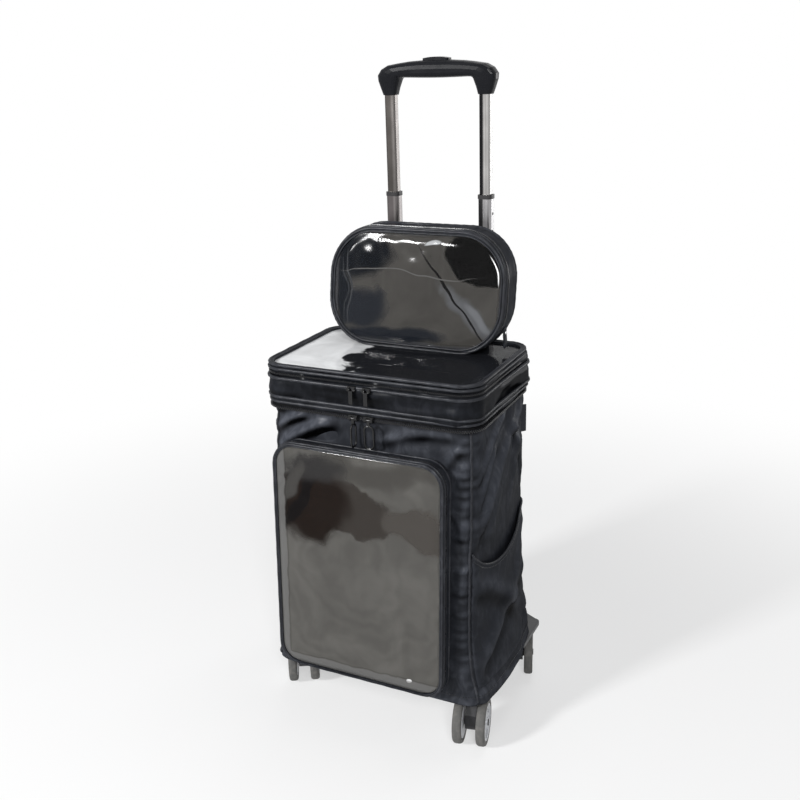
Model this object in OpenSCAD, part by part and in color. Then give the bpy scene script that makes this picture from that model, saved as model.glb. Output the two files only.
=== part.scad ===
// Soft trolley bag with clear windows on a four-caster base, with a two-stage
// pull handle and a small clear-window pouch standing on its lid.
// Millimetres. X runs to the right, Y to the back and Z up from the floor.

/* [Casters] */
// Diameter of a wheel over its tyre
wheel_d = 58; // [54:1:59]
// Width of one wheel
wheel_w = 12; // [9:1:13]
// Distance between the two wheels of a caster, centre to centre
wheel_pitch = 28.5; // [27:0.5:32]
// Diameter of the hub inside the tyre
hub_d = 44; // [36:1:48]
// Number of spokes in a hub
spokes = 6; // [4:1:8]
// Diameter of the axle
axle_d = 5; // [4:0.5:6]
// Distance from the swivel axis to the axle
trail = 18; // [16:1:20]
// Sideways distance of a swivel axis from the tray's edge
caster_inset = 19; // [19:1:26]
// Distance of the front swivel axes ahead of the bag's middle
caster_front = 67; // [58:1:70]
// Distance of the rear swivel axes behind the bag's middle
caster_back = 94; // [85:1:96]
// Diameter of the swivel pin
kingpin_d = 8; // [6:1:9]
// Diameter of the caster mount under the tray
mount_d = 37; // [30:1:38]
// Width of the fork between the wheels
fork_w = 13.5; // [10:0.5:14]
// Angle at rest of the front left, front right, rear left and rear right fork
fork_turn = [210, 12, -8, 18];

/* [Base tray] */
// Distance of the tray's side edge inside the skirt's outer face
tray_inset = 6; // [5:0.5:9]
// How far the tray's rear part stands out beyond the rest, on each side
tray_ear = 8.5; // [6:0.5:10]
// Distance of the tray's front edge ahead of the bag's middle
tray_front = 99; // [90:1:99]
// Distance of the tray's rear edge behind the bag's middle
tray_back = 147; // [144:1:156]
// Thickness of the tray with its ribs
tray_t = 5; // [4:0.5:7]
// Thickness of the tray's sheet above the ribs
tray_sheet = 2.4; // [1.8:0.2:3]
// Clear height between the wheels and the caster mounts
wheel_head = 1; // [0.8:0.2:3]
// Thickness of the caster mount's flange
mount_t = 3; // [2.5:0.5:5]

/* [Pull handle] */
// Distance between the two tubes, centre to centre
tube_pitch = 125.2; // [118:0.2:130]
// Distance of the tubes behind the bag's middle
tube_y = 130; // [129:0.5:134]
// Width of the inner tube
inner_tube_w = 14; // [13:0.5:15]
// Depth of the inner tube
inner_tube_d = 12; // [11:0.5:12.5]
// Wall of each tube
tube_wall = 1.2; // [1:0.1:1.4]
// Clearance between two tubes on each side
tube_gap = 0.35; // [0.25:0.05:0.5]
// Corner radius of the inner tube
tube_r = 2.6; // [2.2:0.1:3.4]
// Height of the top of the outer tubes
outer_top = 452; // [440:1:460]
// Height of the top of the middle tubes
middle_top = 628; // [610:1:640]
// Height of the lower end of the grip
grip_foot = 747; // [735:1:765]
// Length that each stage stays inside the one below
stage_hold = 42; // [36:1:50]
// Height of the grip above its lower ends
grip_rise = 40; // [38:1:44]
// Depth of the grip
grip_d = 25; // [23:0.5:27]
// Thickness of the grip's bar
grip_bar = 20.5; // [19:0.5:22]
// Distance of the elbows' outer corners from the tube's centre line
elbow_out = 15; // [14:0.5:18]
// Width of the push button
button_w = 34; // [28:1:40]
// Depth of the push button
button_d = 13; // [11:1:15]
// Travel of the push button
button_travel = 3; // [2:0.5:3]

/* [Bag body] */
// Width of the body at its mouth
body_w = 256; // [250:1:258]
// Distance of the front panel ahead of the bag's middle, at the mouth
body_front_top = 84; // [80:1:86]
// Distance of the front panel ahead of the bag's middle, at the bottom
body_front_foot = 103; // [102:1:104]
// Distance of the back panel behind the bag's middle
body_back_y = 90; // [86:1:91]
// Height of the body's mouth
mouth_z = 402.5; // [396:0.5:410]
// Height of the skirt's lower edge
skirt_z = 60.2; // [59.4:0.2:61.4]
// Wall of the padded fabric
fabric_t = 2.2; // [1.8:0.1:2.4]
// Corner radius of the body
body_r = 20; // [16:1:24]
// How far the skirt flares out beyond the mouth, on each side
skirt_flare = 19; // [18:0.5:20]
// Height of the side pocket's mouth
side_pocket_z = 250; // [230:1:280]
// How far the side pocket stands off the side panel
side_pocket_gap = 5; // [4.5:0.5:8]

/* [Front pocket] */
// Width of the front pocket
pocket_w = 222; // [210:1:228]
// Height of the front pocket's lower edge
pocket_z = 72; // [70:1:78]
// Height of the front pocket along the panel
pocket_h = 294; // [280:1:298]
// Corner radius of the front pocket
pocket_r = 28; // [22:1:34]
// Depth of the front pocket's gusset
pocket_gusset_d = 18; // [15:0.5:18.5]
// Sideways shift of the front pocket, to the left
pocket_shift = 7; // [0:0.5:9]
// Border between the front pocket's edge and its window
pocket_border = 8; // [7:1:14]

/* [Lid] */
// How far the lid's piping overhangs the body's mouth, on each side
lid_over = 10; // [8:0.5:11]
// Depth of the lid over its piping
lid_d = 186; // [182:1:188]
// Height of the lid compartment's wall
lid_h = 47.2; // [42:0.2:50]
// Corner radius of the lid
lid_r = 28; // [24:1:34]
// Border between the lid's edge and its window
lid_border = 10; // [9:1:18]
// Diameter of the sewn piping
piping_d = 4; // [3:0.5:4.5]
// Thickness of a clear window
window_t = 1.2; // [0.8:0.1:1.6]
// Thickness of the border frame round a window
frame_t = 2.3; // [2:0.1:2.6]

/* [Pouch] */
// Width of the pouch
pouch_w = 231; // [210:1:232]
// Height of the pouch
pouch_h = 143; // [130:1:146]
// Thickness of the pouch
pouch_d = 40; // [32:1:42]
// Corner radius of the pouch
pouch_r = 58; // [45:1:62]
// How far the pouch leans back, in degrees
pouch_lean = 10; // [6:0.5:11]
// Distance of the pouch's front foot behind the bag's middle
pouch_y = 22; // [16:1:24]
// Sideways shift of the pouch, to the right
pouch_shift = 7; // [0:0.5:8]
// Border between the pouch's edge and its window
pouch_border = 12; // [9:1:15]

/* [Zips and fits] */
// Width of a zip slider's body
slider_w = 11; // [9:0.5:12]
// Length of the looped pull on the main zip
pull_l = 36; // [30:1:36]
// Width of the looped pull on the main zip
pull_w = 14; // [10:1:16]
// Diameter of the pull's rod
pull_rod = 2.4; // [2:0.2:3]
// Clearance between soft parts that move past each other
soft_gap = 0.3; // [0.3:0.1:0.6]
// Clearance of a fixed part in its seat
seat_gap = 0.1; // [0.05:0.05:0.2]
// Clearance round a turning pin, on the radius
run_gap = 0.05; // [0.03:0.01:0.1]

/* [Hidden] */

// Overshoot of a cutting tool beyond what it cuts
cut = 1;

// Heights that stack up from the floor
tray_z = wheel_d + wheel_head + mount_t;
tray_top = tray_z + tray_t;
zip_t = 3.5;
lid_z = mouth_z + zip_t + soft_gap;
lid_floor_t = 2;
lid_top = lid_z + lid_h;
lid_frame_t = 4;
window_lap = 5;
window_top = lid_top + soft_gap + window_t;

// Widths that follow the body's
lid_w = body_w + 2 * lid_over;
tray_w = body_w + 2 * (skirt_flare - tray_inset);
tray_rear_w = tray_w + 2 * tray_ear;
caster_x = tray_w / 2 - caster_inset;

// The whole bag is shifted so that its box is centred on the origin
// which runs from the pocket flap's piping above its hinge to the tray's rear edge
pocket_hinge = 4;
pocket_frame_d = seat_gap + pocket_gusset_d + soft_gap;
front_reach = body_front(pocket_z + pocket_hinge) + pocket_frame_d + piping_d;
shift_y = (front_reach - tray_back) / 2;

// Tube sizes, each stage from the one inside it
middle_tube_w = inner_tube_w + 2 * (tube_gap + tube_wall);
middle_tube_d = inner_tube_d + 2 * (tube_gap + tube_wall);
outer_tube_w = middle_tube_w + 2 * (tube_gap + tube_wall);
outer_tube_d = middle_tube_d + 2 * (tube_gap + tube_wall);
tube_x = tube_pitch / 2;
socket_floor = 4;
socket_h = 36;
collar_h = 12;
lip_h = 5;
middle_foot = outer_top - stage_hold;
inner_foot = middle_top - stage_hold;
lock_hole_d = 4;
lock_hole_pitch = 22;
plug_foot = 1;
plug_h = 19;
pin_z = 10;

// The grip's bar
grip_top = grip_foot + grip_rise;
bar_mid = grip_top - grip_bar / 2;
channel_floor = bar_mid - 6;
yoke_t = 3;
grip_hold = 6;
button_gap = 0.4;
button_r = 3;
yoke_z = channel_floor + button_travel + 1.6;
cover_z = bar_mid + 3;
rod_d = 3.2;

// Levels of the body's loft: height, half width beyond the mouth's, bulge of the sides, and
// corner radius beyond the mouth's
body_levels = [
  [skirt_z, skirt_flare, 5, 11],
  [tray_top + 10, skirt_flare - 3, 6, 10],
  [tray_top + 35, 9, 9, 6],
  [tray_top + 75, 4, 9, 3],
  [tray_top + 155, 2, 6, 1],
  [tray_top + 255, 1, 4, 0],
  [mouth_z, 0, 0, 0]
];
panel_x = body_w / 2 - body_r;
skirt_end = 22;

function body_front(z) =
  body_front_top + (mouth_z - z) * (body_front_foot - body_front_top) / (mouth_z - skirt_z);

// Points of a rounded rectangle, anticlockwise, with side walls that may bulge.
// x0..x1 and y0..y1 are its edges, r its corner radius, b the bulge of the walls at x0 and x1.
function corner(cx, cy, r, a0, n = 5) =
  [for (i = [0 : n]) [cx + r * cos(a0 + 90 * i / n), cy + r * sin(a0 + 90 * i / n)]];
function along(p, q, bx, n = 4) =
  [for (i = [1 : n - 1]) let (t = i / n) p + (q - p) * t + [bx * 4 * t * (1 - t), 0]];
function outline(x0, x1, y0, y1, r, b = 0) = concat(
  corner(x1 - r, y1 - r, r, 0),
  along([x1 - r, y1], [x0 + r, y1], 0),
  corner(x0 + r, y1 - r, r, 90),
  along([x0, y1 - r], [x0, y0 + r], -b),
  corner(x0 + r, y0 + r, r, 180),
  along([x0 + r, y0], [x1 - r, y0], 0),
  corner(x1 - r, y0 + r, r, 270),
  along([x1, y0 + r], [x1, y1 - r], b)
);

// A solid through rings of points, each ring with as many points as the others.
// The rings run anticlockwise seen from the last ring's side. The ends of a thin sheet, whose
// second half of points runs back along its first half, are closed across its thickness.
module loft(rings, sheet = false) {
  n = len(rings[0]);
  m = len(rings);
  sides = [for (k = [0 : m - 2], i = [0 : n - 1]) let (j = (i + 1) % n)
    each [[k * n + i, k * n + n + i, k * n + j], [k * n + j, k * n + n + i, k * n + n + j]]];
  top = (m - 1) * n;
  middles = sheet ? [] : [for (r = [rings[0], rings[m - 1]]) [for (p = r) 1 / n] * r];
  fans = [for (i = [0 : n - 1]) let (j = (i + 1) % n) each [[i, j, m * n], [top + j, top + i, m * n + 1]]];
  strips = [for (i = [0 : n / 2 - 2]) let (k = n - 1 - i)
    each [[i, i + 1, k], [i + 1, k - 1, k],
      [top + i + 1, top + i, top + k], [top + k - 1, top + i + 1, top + k]]];
  polyhedron(points = concat([for (r = rings) each r], middles),
    faces = concat(sheet ? strips : fans, sides), convexity = 6);
}

// A round rod along closed points that lie in a plane, whose normal is given
module piping(points, d, normal, sides = 6) {
  n = len(points);
  rings = [for (i = [0 : n - 1])
    let (
      way = points[(i + 1) % n] - points[(i + n - 1) % n],
      u = normal / norm(normal),
      s = cross(way, u),
      v = s / norm(s)
    )
    [for (k = [0 : sides - 1]) points[i] + d / 2 * (cos(360 * k / sides) * u + sin(360 * k / sides) * v)]];
  faces = [for (i = [0 : n - 1], k = [0 : sides - 1])
    let (a = i * sides, b = ((i + 1) % n) * sides, l = (k + 1) % sides)
    each [[a + k, b + k, a + l], [a + l, b + k, b + l]]];
  polyhedron(points = [for (r = rings) each r], faces = faces, convexity = 10);
}

// A rectangle with round corners, centred on the origin
module round_rect(w, d, r) {
  square([w - 2 * r, d], center = true);
  square([w, d - 2 * r], center = true);
  for (x = [-1, 1], y = [-1, 1]) translate([x * (w / 2 - r), y * (d / 2 - r)]) circle(r, $fn = 32);
}

module round_bar(w, d, r, h) {
  linear_extrude(h) round_rect(w, d, r);
}

// A round cord along the edge of a rectangle with round corners
module bead(w, d, r, t) {
  for (x = [-1, 1]) translate([x * w / 2, 0, 0]) rotate([90, 0, 0])
    cylinder(d = t, h = d - 2 * r, center = true, $fn = 24);
  for (y = [-1, 1]) translate([0, y * d / 2, 0]) rotate([0, 90, 0])
    cylinder(d = t, h = w - 2 * r, center = true, $fn = 24);
  for (x = [0, 1], y = [0, 1]) mirror([x, 0, 0]) mirror([0, y, 0]) translate([w / 2 - r, d / 2 - r, 0])
    rotate_extrude(angle = 90, $fn = 64) translate([r, 0]) circle(d = t, $fn = 24);
}

module place() {
  translate([0, shift_y, 0]) children();
}

// Casters

// Where the casters stand, in the order of fork_turn
caster_spots = [
  [-caster_x, -caster_front], [caster_x, -caster_front],
  [-caster_x, caster_back], [caster_x, caster_back]
];

module at_caster(i) {
  place() translate([caster_spots[i][0], caster_spots[i][1], 0]) rotate(fork_turn[i]) children();
}

stem_d = 14;
stem_h = 9;
stem_top = tray_z - mount_t - 2 * seat_gap;
boss_d = kingpin_d + 5;

module caster_mount() {
  difference() {
    union() {
      translate([0, 0, tray_z - mount_t]) cylinder(d = mount_d, h = mount_t, $fn = 64);
      translate([0, 0, tray_z - seat_gap]) cylinder(d = boss_d, h = tray_t - tray_sheet, $fn = 48);
    }
    translate([0, 0, tray_z - mount_t - cut])
      cylinder(d = kingpin_d + 2 * run_gap, h = mount_t + 3 * cut, $fn = 48);
  }
}

module caster_mounts() {
  color("dimgray") for (spot = caster_spots) place() translate([spot[0], spot[1], 0]) caster_mount();
}

// The fork's arm runs from the swivel stem down to the axle between the wheels
module fork(i) {
  axle_z = wheel_d / 2;
  eye_r = 11;
  head_t = 0.8;
  color([0.12, 0.12, 0.13]) at_caster(i) {
    difference() {
      union() {
        rotate([90, 0, 90]) translate([0, 0, -fork_w / 2]) linear_extrude(fork_w) {
          translate([-trail, axle_z]) circle(eye_r, $fn = 48);
          polygon([
            [-trail - eye_r, axle_z], [-trail - eye_r + 2, axle_z + eye_r + 1], [-trail + 2, stem_top - 4],
            [-stem_d / 2 + 1, stem_top - 1.5], [stem_d / 2 - 1, stem_top - 1.5],
            [stem_d / 2 - 1, stem_top - stem_h + 1], [-1, axle_z + 8], [-trail + eye_r - 0.5, axle_z - 3]
          ]);
        }
        translate([0, 0, stem_top - stem_h]) cylinder(d = stem_d, h = stem_h, $fn = 48);
        translate([0, -trail, axle_z]) rotate([0, 90, 0])
          cylinder(d = axle_d + 7, h = wheel_pitch - wheel_w + 1 - 2 * soft_gap, center = true, $fn = 48);
        translate([0, 0, stem_top - cut]) cylinder(d = kingpin_d, h = mount_t + cut + 1.8, $fn = 48);
      }
      translate([0, -trail, axle_z]) rotate([0, 90, 0])
        cylinder(d = axle_d + 2 * seat_gap, h = 2 * wheel_pitch, center = true, $fn = 48);
    }
    translate([0, -trail, axle_z]) rotate([0, 90, 0]) {
      cylinder(d = axle_d, h = wheel_pitch + wheel_w, center = true, $fn = 48);
      for (x = [-1, 1]) translate([0, 0, x * (wheel_pitch + wheel_w + 2 * seat_gap) / 2])
        cylinder(d = axle_d + 3, h = head_t, center = true, $fn = 48);
    }
  }
}

// One wheel: a tyre with round shoulders on a spoked hub with an open outer face
module wheel(i, side) {
  r = wheel_d / 2;
  rim = hub_d / 2;
  w = wheel_w / 2;
  boss = axle_d / 2 + 3.2;
  shoulder = 3;
  spoke_w = 3.2;
  at_caster(i) translate([side * wheel_pitch / 2, -trail, r]) rotate([0, 90 * side, 0]) {
    color([0.3, 0.3, 0.3]) rotate_extrude($fn = 72) {
      translate([rim + seat_gap, -w]) square([r - rim - seat_gap - shoulder, wheel_w]);
      translate([r - shoulder - 1, -w + shoulder]) square([shoulder + 1, wheel_w - 2 * shoulder]);
      for (y = [-1, 1]) translate([r - shoulder, y * (w - shoulder)]) circle(shoulder, $fn = 32);
    }
    color([0.75, 0.76, 0.78]) difference() {
      union() {
        difference() {
          translate([0, 0, -w + 0.5]) cylinder(r = rim, h = wheel_w - 1, $fn = 72);
          translate([0, 0, -w + 3]) cylinder(r = rim - 2.2, h = wheel_w, $fn = 72);
        }
        translate([0, 0, -w + 2]) cylinder(r = boss, h = wheel_w - 2.5, $fn = 48);
        for (k = [0 : spokes - 1]) rotate(360 / spokes * k)
          translate([boss - 1, -spoke_w / 2, -w + 2]) cube([rim - boss - 0.5, spoke_w, wheel_w - 3.5]);
      }
      translate([0, 0, -w - cut]) cylinder(d = axle_d + 2 * run_gap, h = wheel_w + 2 * cut, $fn = 48);
    }
  }
}

// Base tray and what stands on it

module tray_outline() {
  r = 28;
  tip = 7;
  waist = 20;
  half = tray_w / 2;
  rear = tray_rear_w / 2;
  widen = skirt_end + 4;
  tip_y = caster_back + 4;
  tail = rear - 58;
  polygon(concat(
    corner(r - half, r - tray_front, r, 180, 10), corner(half - r, r - tray_front, r, 270, 10),
    [[half, widen], [rear, widen + 2 * tip]], corner(rear - tip, tip_y, tip, 0, 5),
    [for (p = [[1, 0], [0, 1]]) [tail + waist * p[0], tray_back - (waist + 5) * p[0]]],
    [for (p = [[0, 1], [1, 0]]) [-tail - waist * p[0], tray_back - (waist + 5) * p[0]]],
    corner(tip - rear, tip_y, tip, 90, 5), [[-rear, widen + 2 * tip], [-half, widen]]
  ));
}

module base_tray() {
  rib = 2;
  rib_pitch = 36;
  rim_w = 8;
  clear_d = mount_d + 8;
  color([0.42, 0.43, 0.44]) place() translate([0, 0, tray_z]) difference() {
    linear_extrude(tray_t) tray_outline();
    difference() {
      translate([0, 0, -cut]) linear_extrude(tray_t - tray_sheet + cut)
        square([tray_w - 2 * rim_w, tray_front + caster_back - 2 * rim_w], center = true);
      for (k = [-3 : 3]) translate([k * rib_pitch - rib / 2, -tray_front, -cut])
        cube([rib, tray_front + tray_back, tray_t]);
      for (k = [-2 : 2]) translate([-tray_w / 2, k * rib_pitch - rib / 2, -cut])
        cube([tray_w, rib, tray_t]);
      for (spot = caster_spots) translate([spot[0], spot[1], -cut])
        cylinder(d = clear_d, h = tray_t, $fn = 64);
    }
    for (spot = caster_spots) translate([spot[0], spot[1], -cut])
      cylinder(d = boss_d + 2 * seat_gap, h = tray_t - tray_sheet + cut, $fn = 48);
  }
}

module at_tubes(side = 0) {
  for (x = side == 0 ? [-1, 1] : [side]) place() translate([x * tube_x, tube_y, 0]) children();
}

module tube(w, d, foot, top, wall_r) {
  difference() {
    translate([0, 0, foot]) round_bar(w, d, wall_r, top - foot);
    translate([0, 0, foot - cut])
      round_bar(w - 2 * tube_wall, d - 2 * tube_wall, wall_r - tube_wall, top - foot + 2 * cut);
  }
}

module lock_holes(side, zs) {
  for (z = zs) translate([0, 0, z]) rotate([0, 90 * side, 0])
    cylinder(d = lock_hole_d, h = middle_tube_w, $fn = 24);
}

middle_r = tube_r + tube_gap + tube_wall;
outer_r = middle_r + tube_gap + tube_wall;

module tube_sockets() {
  wall = 3.5;
  flange_t = 4;
  flange_w = outer_tube_w + 20;
  flange_d = outer_tube_d + 12;
  color([0.15, 0.15, 0.16]) at_tubes() difference() {
    union() {
      translate([0, 0, tray_top]) round_bar(flange_w, flange_d, 4, flange_t);
      translate([0, 0, tray_top]) round_bar(outer_tube_w + 2 * wall, outer_tube_d + 2 * wall, 5, socket_h);
      for (x = [-1, 1]) translate([x * (outer_tube_w / 2 + 3), 0, tray_top + flange_t]) rotate([90, 0, 0])
        translate([0, 0, -1.5]) linear_extrude(3) polygon([[0, 0], [x * 6, 0], [0, socket_h / 2]]);
    }
    translate([0, 0, tray_top + socket_floor])
      round_bar(outer_tube_w + 2 * seat_gap, outer_tube_d + 2 * seat_gap, outer_r, socket_h);
  }
}

module outer_tube(side) {
  color([0.32, 0.31, 0.31]) at_tubes(side)
    tube(outer_tube_w, outer_tube_d, tray_top + socket_floor, outer_top, outer_r);
}

module middle_tube(side) {
  color([0.42, 0.40, 0.39]) at_tubes(side) difference() {
    tube(middle_tube_w, middle_tube_d, middle_foot, middle_top, middle_r);
    lock_holes(side, [for (k = [1 : 6]) middle_top - k * lock_hole_pitch]);
  }
}

module inner_tube(side) {
  color([0.5, 0.49, 0.48]) at_tubes(side) difference() {
    tube(inner_tube_w, inner_tube_d, inner_foot, grip_foot + grip_hold, tube_r);
    lock_holes(side, [inner_foot + pin_z]);
  }
}

// A collar caps a tube's mouth and leaves only the next stage's width open
module collar(w, d, r, mouth_w, mouth_d, mouth_r, top, h, lip, wall) {
  difference() {
    translate([0, 0, top - h + lip]) round_bar(w + 2 * wall, d + 2 * wall, r + wall, h);
    translate([0, 0, top - h + lip - cut])
      round_bar(w + 2 * seat_gap, d + 2 * seat_gap, r, h - lip + cut);
    translate([0, 0, top - h])
      round_bar(mouth_w + 2 * tube_gap, mouth_d + 2 * tube_gap, mouth_r + tube_gap, 2 * h);
  }
}

module outer_collars() {
  color([0.12, 0.12, 0.13]) at_tubes()
    collar(outer_tube_w, outer_tube_d, outer_r, middle_tube_w, middle_tube_d, middle_r,
      outer_top, collar_h, 3, 2.2);
}

module middle_collars() {
  color([0.16, 0.15, 0.15]) at_tubes()
    collar(middle_tube_w, middle_tube_d, middle_r, inner_tube_w, inner_tube_d, tube_r,
      middle_top, lip_h, 1.2, 0.8);
}

// Plug with a drawn-in lock pin at the foot of a tube
module lock_plug(side, w, d, foot) {
  plug_w = w - 2 * tube_wall - 2 * seat_gap;
  plug_d = d - 2 * tube_wall - 2 * seat_gap;
  difference() {
    union() {
      translate([0, 0, foot + plug_foot]) round_bar(plug_w, plug_d, tube_r - tube_wall - seat_gap, plug_h);
      translate([0, 0, foot + pin_z]) rotate([0, 90 * side, 0])
        cylinder(d = lock_hole_d - 0.6, h = w / 2 - 0.2, $fn = 24);
    }
    translate([0, 0, foot - cut]) cylinder(d = min(5, plug_d - 3), h = 8, $fn = 24);
  }
}

module inner_lock_plugs() {
  color("black") for (x = [-1, 1]) at_tubes(x) lock_plug(x, inner_tube_w, inner_tube_d, inner_foot);
}

// The middle plugs are rings, so that the inner tube's rod could pass, and sit in the tube's foot
module middle_lock_plugs() {
  w = middle_tube_w - 2 * tube_wall - 2 * seat_gap;
  d = middle_tube_d - 2 * tube_wall - 2 * seat_gap;
  color("black") at_tubes() difference() {
    translate([0, 0, middle_foot + plug_foot]) round_bar(w, d, middle_r - tube_wall - seat_gap, plug_h - 5);
    translate([0, 0, middle_foot - cut]) round_bar(w - 5, d - 5, 1, plug_h + cut);
  }
}

// Fabric loops that hold the bag's back to the outer tubes
module tube_loops() {
  loop_gap = soft_gap + 0.2;
  loop_h = 42;
  w = outer_tube_w + 2 * (loop_gap + fabric_t);
  back = tube_y + outer_tube_d / 2 + loop_gap + fabric_t;
  color([0.07, 0.07, 0.08]) at_tubes() for (z = [tray_top + 60, mouth_z - 70])
    translate([0, -tube_y, z]) linear_extrude(loop_h) difference() {
      translate([-w / 2, body_back_y]) square([w, back - body_back_y]);
      translate([-w / 2 + fabric_t, body_back_y + fabric_t])
        square([w - 2 * fabric_t, back - body_back_y - 2 * fabric_t]);
    }
}

// Grip

// Sections of the grip's right half from its foot to its middle: the point on the inside of the
// curve, the point on the outside, and the depth. Heights are from the grip's foot.
grip_foot_w = inner_tube_w + 3.4;
grip_sections = [
  [[tube_x - grip_foot_w / 2, 0], [tube_x + grip_foot_w / 2, 0], inner_tube_d + 4.4],
  [[tube_x - 11, 8.5], [tube_x + 11.7, 8], inner_tube_d + 7],
  [[tube_x - 13.4, 15], [tube_x + elbow_out - 0.4, 17], grip_d - 2.6],
  [[tube_x - 14.4, 17.6], [tube_x + elbow_out, 23.5], grip_d - 1.4],
  [[tube_x - 15.4, 19.2], [tube_x + elbow_out - 5.1, 30.3], grip_d - 0.4],
  [[tube_x - 17.3, 19.9], [tube_x + 1, 34.9], grip_d],
  [[41, grip_rise - grip_bar + 0.5], [50, 37], grip_d],
  [[33, grip_rise - grip_bar + 0.3], [36, 38.7], grip_d],
  [[20, grip_rise - grip_bar], [21, grip_rise - 0.4], grip_d],
  [[7, grip_rise - grip_bar - 0.2], [7.3, grip_rise], grip_d]
];

// A squarish oval section across the grip's line, side -1 for the left half
function squarish(v) = sign(v) * pow(abs(v), 0.62);
function grip_ring(g, side, n = 24) =
  let (mid = (g[0] + g[1]) / 2, half = (g[0] - g[1]) / 2)
  [for (i = [0 : n - 1]) let (p = mid + half * squarish(cos(360 * i / n)))
    [side * p[0], tube_y + g[2] / 2 * squarish(sin(360 * i / n)), grip_foot + p[1]]];

module grip_form() {
  m = len(grip_sections);
  loft(concat(
    [for (g = grip_sections) grip_ring(g, -1)],
    [for (i = [m - 1 : -1 : 0]) grip_ring(grip_sections[i], 1)]
  ));
}

module yoke_slot() {
  translate([0, tube_y, (channel_floor + cover_z) / 2])
    cube([tube_pitch + rod_d + 2, 9, cover_z - channel_floor + 0.01], center = true);
  translate([0, 0, yoke_z + yoke_t - button_travel - button_gap]) button_well();
}

module button_well() {
  translate([0, tube_y, 0])
    round_bar(button_w + 2 * button_gap, button_d + 2 * button_gap, button_r, grip_rise);
}

module cover_zone() {
  translate([-tube_x - 3.4, tube_y - grip_d, cover_z]) cube([tube_pitch + 6.8, 2 * grip_d, 30]);
}

module grip_lower() {
  color([0.06, 0.06, 0.065]) place() difference() {
    grip_form();
    cover_zone();
    yoke_slot();
    for (x = [-1, 1]) translate([x * tube_x, tube_y, 0]) {
      translate([0, 0, grip_foot - cut])
        round_bar(inner_tube_w + 2 * seat_gap, inner_tube_d + 2 * seat_gap, tube_r, grip_hold + 2 * cut);
      translate([0, 0, grip_foot]) cylinder(d = rod_d + 2, h = channel_floor + 2 - grip_foot, $fn = 24);
    }
  }
}

module grip_cover() {
  color([0.05, 0.05, 0.055]) place() difference() {
    intersection() {
      grip_form();
      translate([0, 0, seat_gap]) cover_zone();
    }
    translate([0, 0, cover_z - cut]) button_well();
  }
}

module push_button() {
  crown_r = 90;
  top = grip_top + button_travel + button_gap;
  color([0.1, 0.1, 0.11]) place() translate([0, tube_y, 0]) intersection() {
    translate([0, 0, yoke_z + yoke_t]) round_bar(button_w, button_d, button_r, grip_rise);
    translate([0, 0, top - crown_r]) rotate([90, 0, 0])
      cylinder(r = crown_r, h = 60, center = true, $fn = 180);
  }
}

// The button presses a flat yoke, whose rods run down to the lock plugs
module release_yoke() {
  rod_foot = inner_foot + plug_foot + plug_h + cut + button_travel;
  color("silver") place() translate([0, tube_y, 0]) {
    translate([0, 0, yoke_z + yoke_t / 2]) cube([tube_pitch + rod_d, 7, yoke_t], center = true);
    for (x = [-1, 1]) translate([x * tube_x, 0, rod_foot])
      cylinder(d = rod_d, h = yoke_z + cut - rod_foot, $fn = 24);
  }
}

module button_spring() {
  spring_d = 6.4;
  spring_t = 0.7;
  color("silver") place() translate([0, tube_y, channel_floor + seat_gap]) difference() {
    cylinder(d = spring_d, h = yoke_z - channel_floor - 2 * seat_gap, $fn = 32);
    translate([0, 0, -cut]) cylinder(d = spring_d - 2 * spring_t, h = grip_rise, $fn = 32);
  }
}

// Bag body

function body_ring(level, inset) =
  let (
    half = body_w / 2 + level[1] - inset,
    z = level[0],
    r = body_r + level[3] - inset
  )
  [for (p = outline(-half, half, -body_front(z) + inset, body_back_y - inset, r, level[2])) [p[0], p[1], z]];

// The inner loft runs past the mouth and the skirt's edge, so that both stay open
function body_bore() = concat(
  [body_ring([skirt_z - cut, skirt_flare, 5, 11], fabric_t)],
  [for (level = body_levels) body_ring(level, fabric_t)],
  [[for (p = body_ring(body_levels[len(body_levels) - 1], fabric_t)) p + [0, 0, cut]]]
);

module body_shell() {
  difference() {
    loft([for (level = body_levels) body_ring(level, 0)]);
    loft(body_bore());
    translate([-200, skirt_end, 0]) cube([400, 200, tray_top + soft_gap]);
  }
}

module body_zone(x0, x1, y0, y1) {
  translate([x0, y0, 0]) cube([x1 - x0, y1 - y0, mouth_z + 10]);
}

module body_front_panel() {
  color([0.06, 0.065, 0.075]) place() intersection() {
    body_shell();
    body_zone(-panel_x, panel_x, -200, 0);
  }
}

module body_back_panel() {
  color([0.05, 0.05, 0.06]) place() intersection() {
    body_shell();
    body_zone(-panel_x, panel_x, 0, 200);
  }
}

module body_side_panel(side) {
  color([0.05, 0.055, 0.065]) place() intersection() {
    body_shell();
    body_zone(side > 0 ? panel_x : -300, side > 0 ? 300 : -panel_x, -200, 200);
  }
}

// The floor board is a little smaller than the bag inside, so that flat things can lie on all of it
module body_floor() {
  board_t = 2.5;
  board_gap = 2;
  level = [for (k = [0 : 3]) lookup(tray_top + board_t, [for (l = body_levels) [l[0], l[k]]])];
  color([0.08, 0.08, 0.08]) place() translate([0, 0, tray_top]) linear_extrude(board_t)
    polygon([for (p = body_ring(level, fabric_t + board_gap)) [p[0], p[1]]]);
}

// Point off the body's right side at a level, a share t of the way from the front corner to the
// rear one. The level is followed by how far the pocket stands off in its middle.
function pocket_point(l, t, off) =
  let (
    level = l[0],
    r = body_r + level[3],
    y0 = -body_front(level[0]) + r,
    y1 = body_back_y - r
  )
  [body_w / 2 + level[1] + (level[2] + l[1]) * 4 * t * (1 - t) + off, y0 + (y1 - y0) * t, level[0]];

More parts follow.
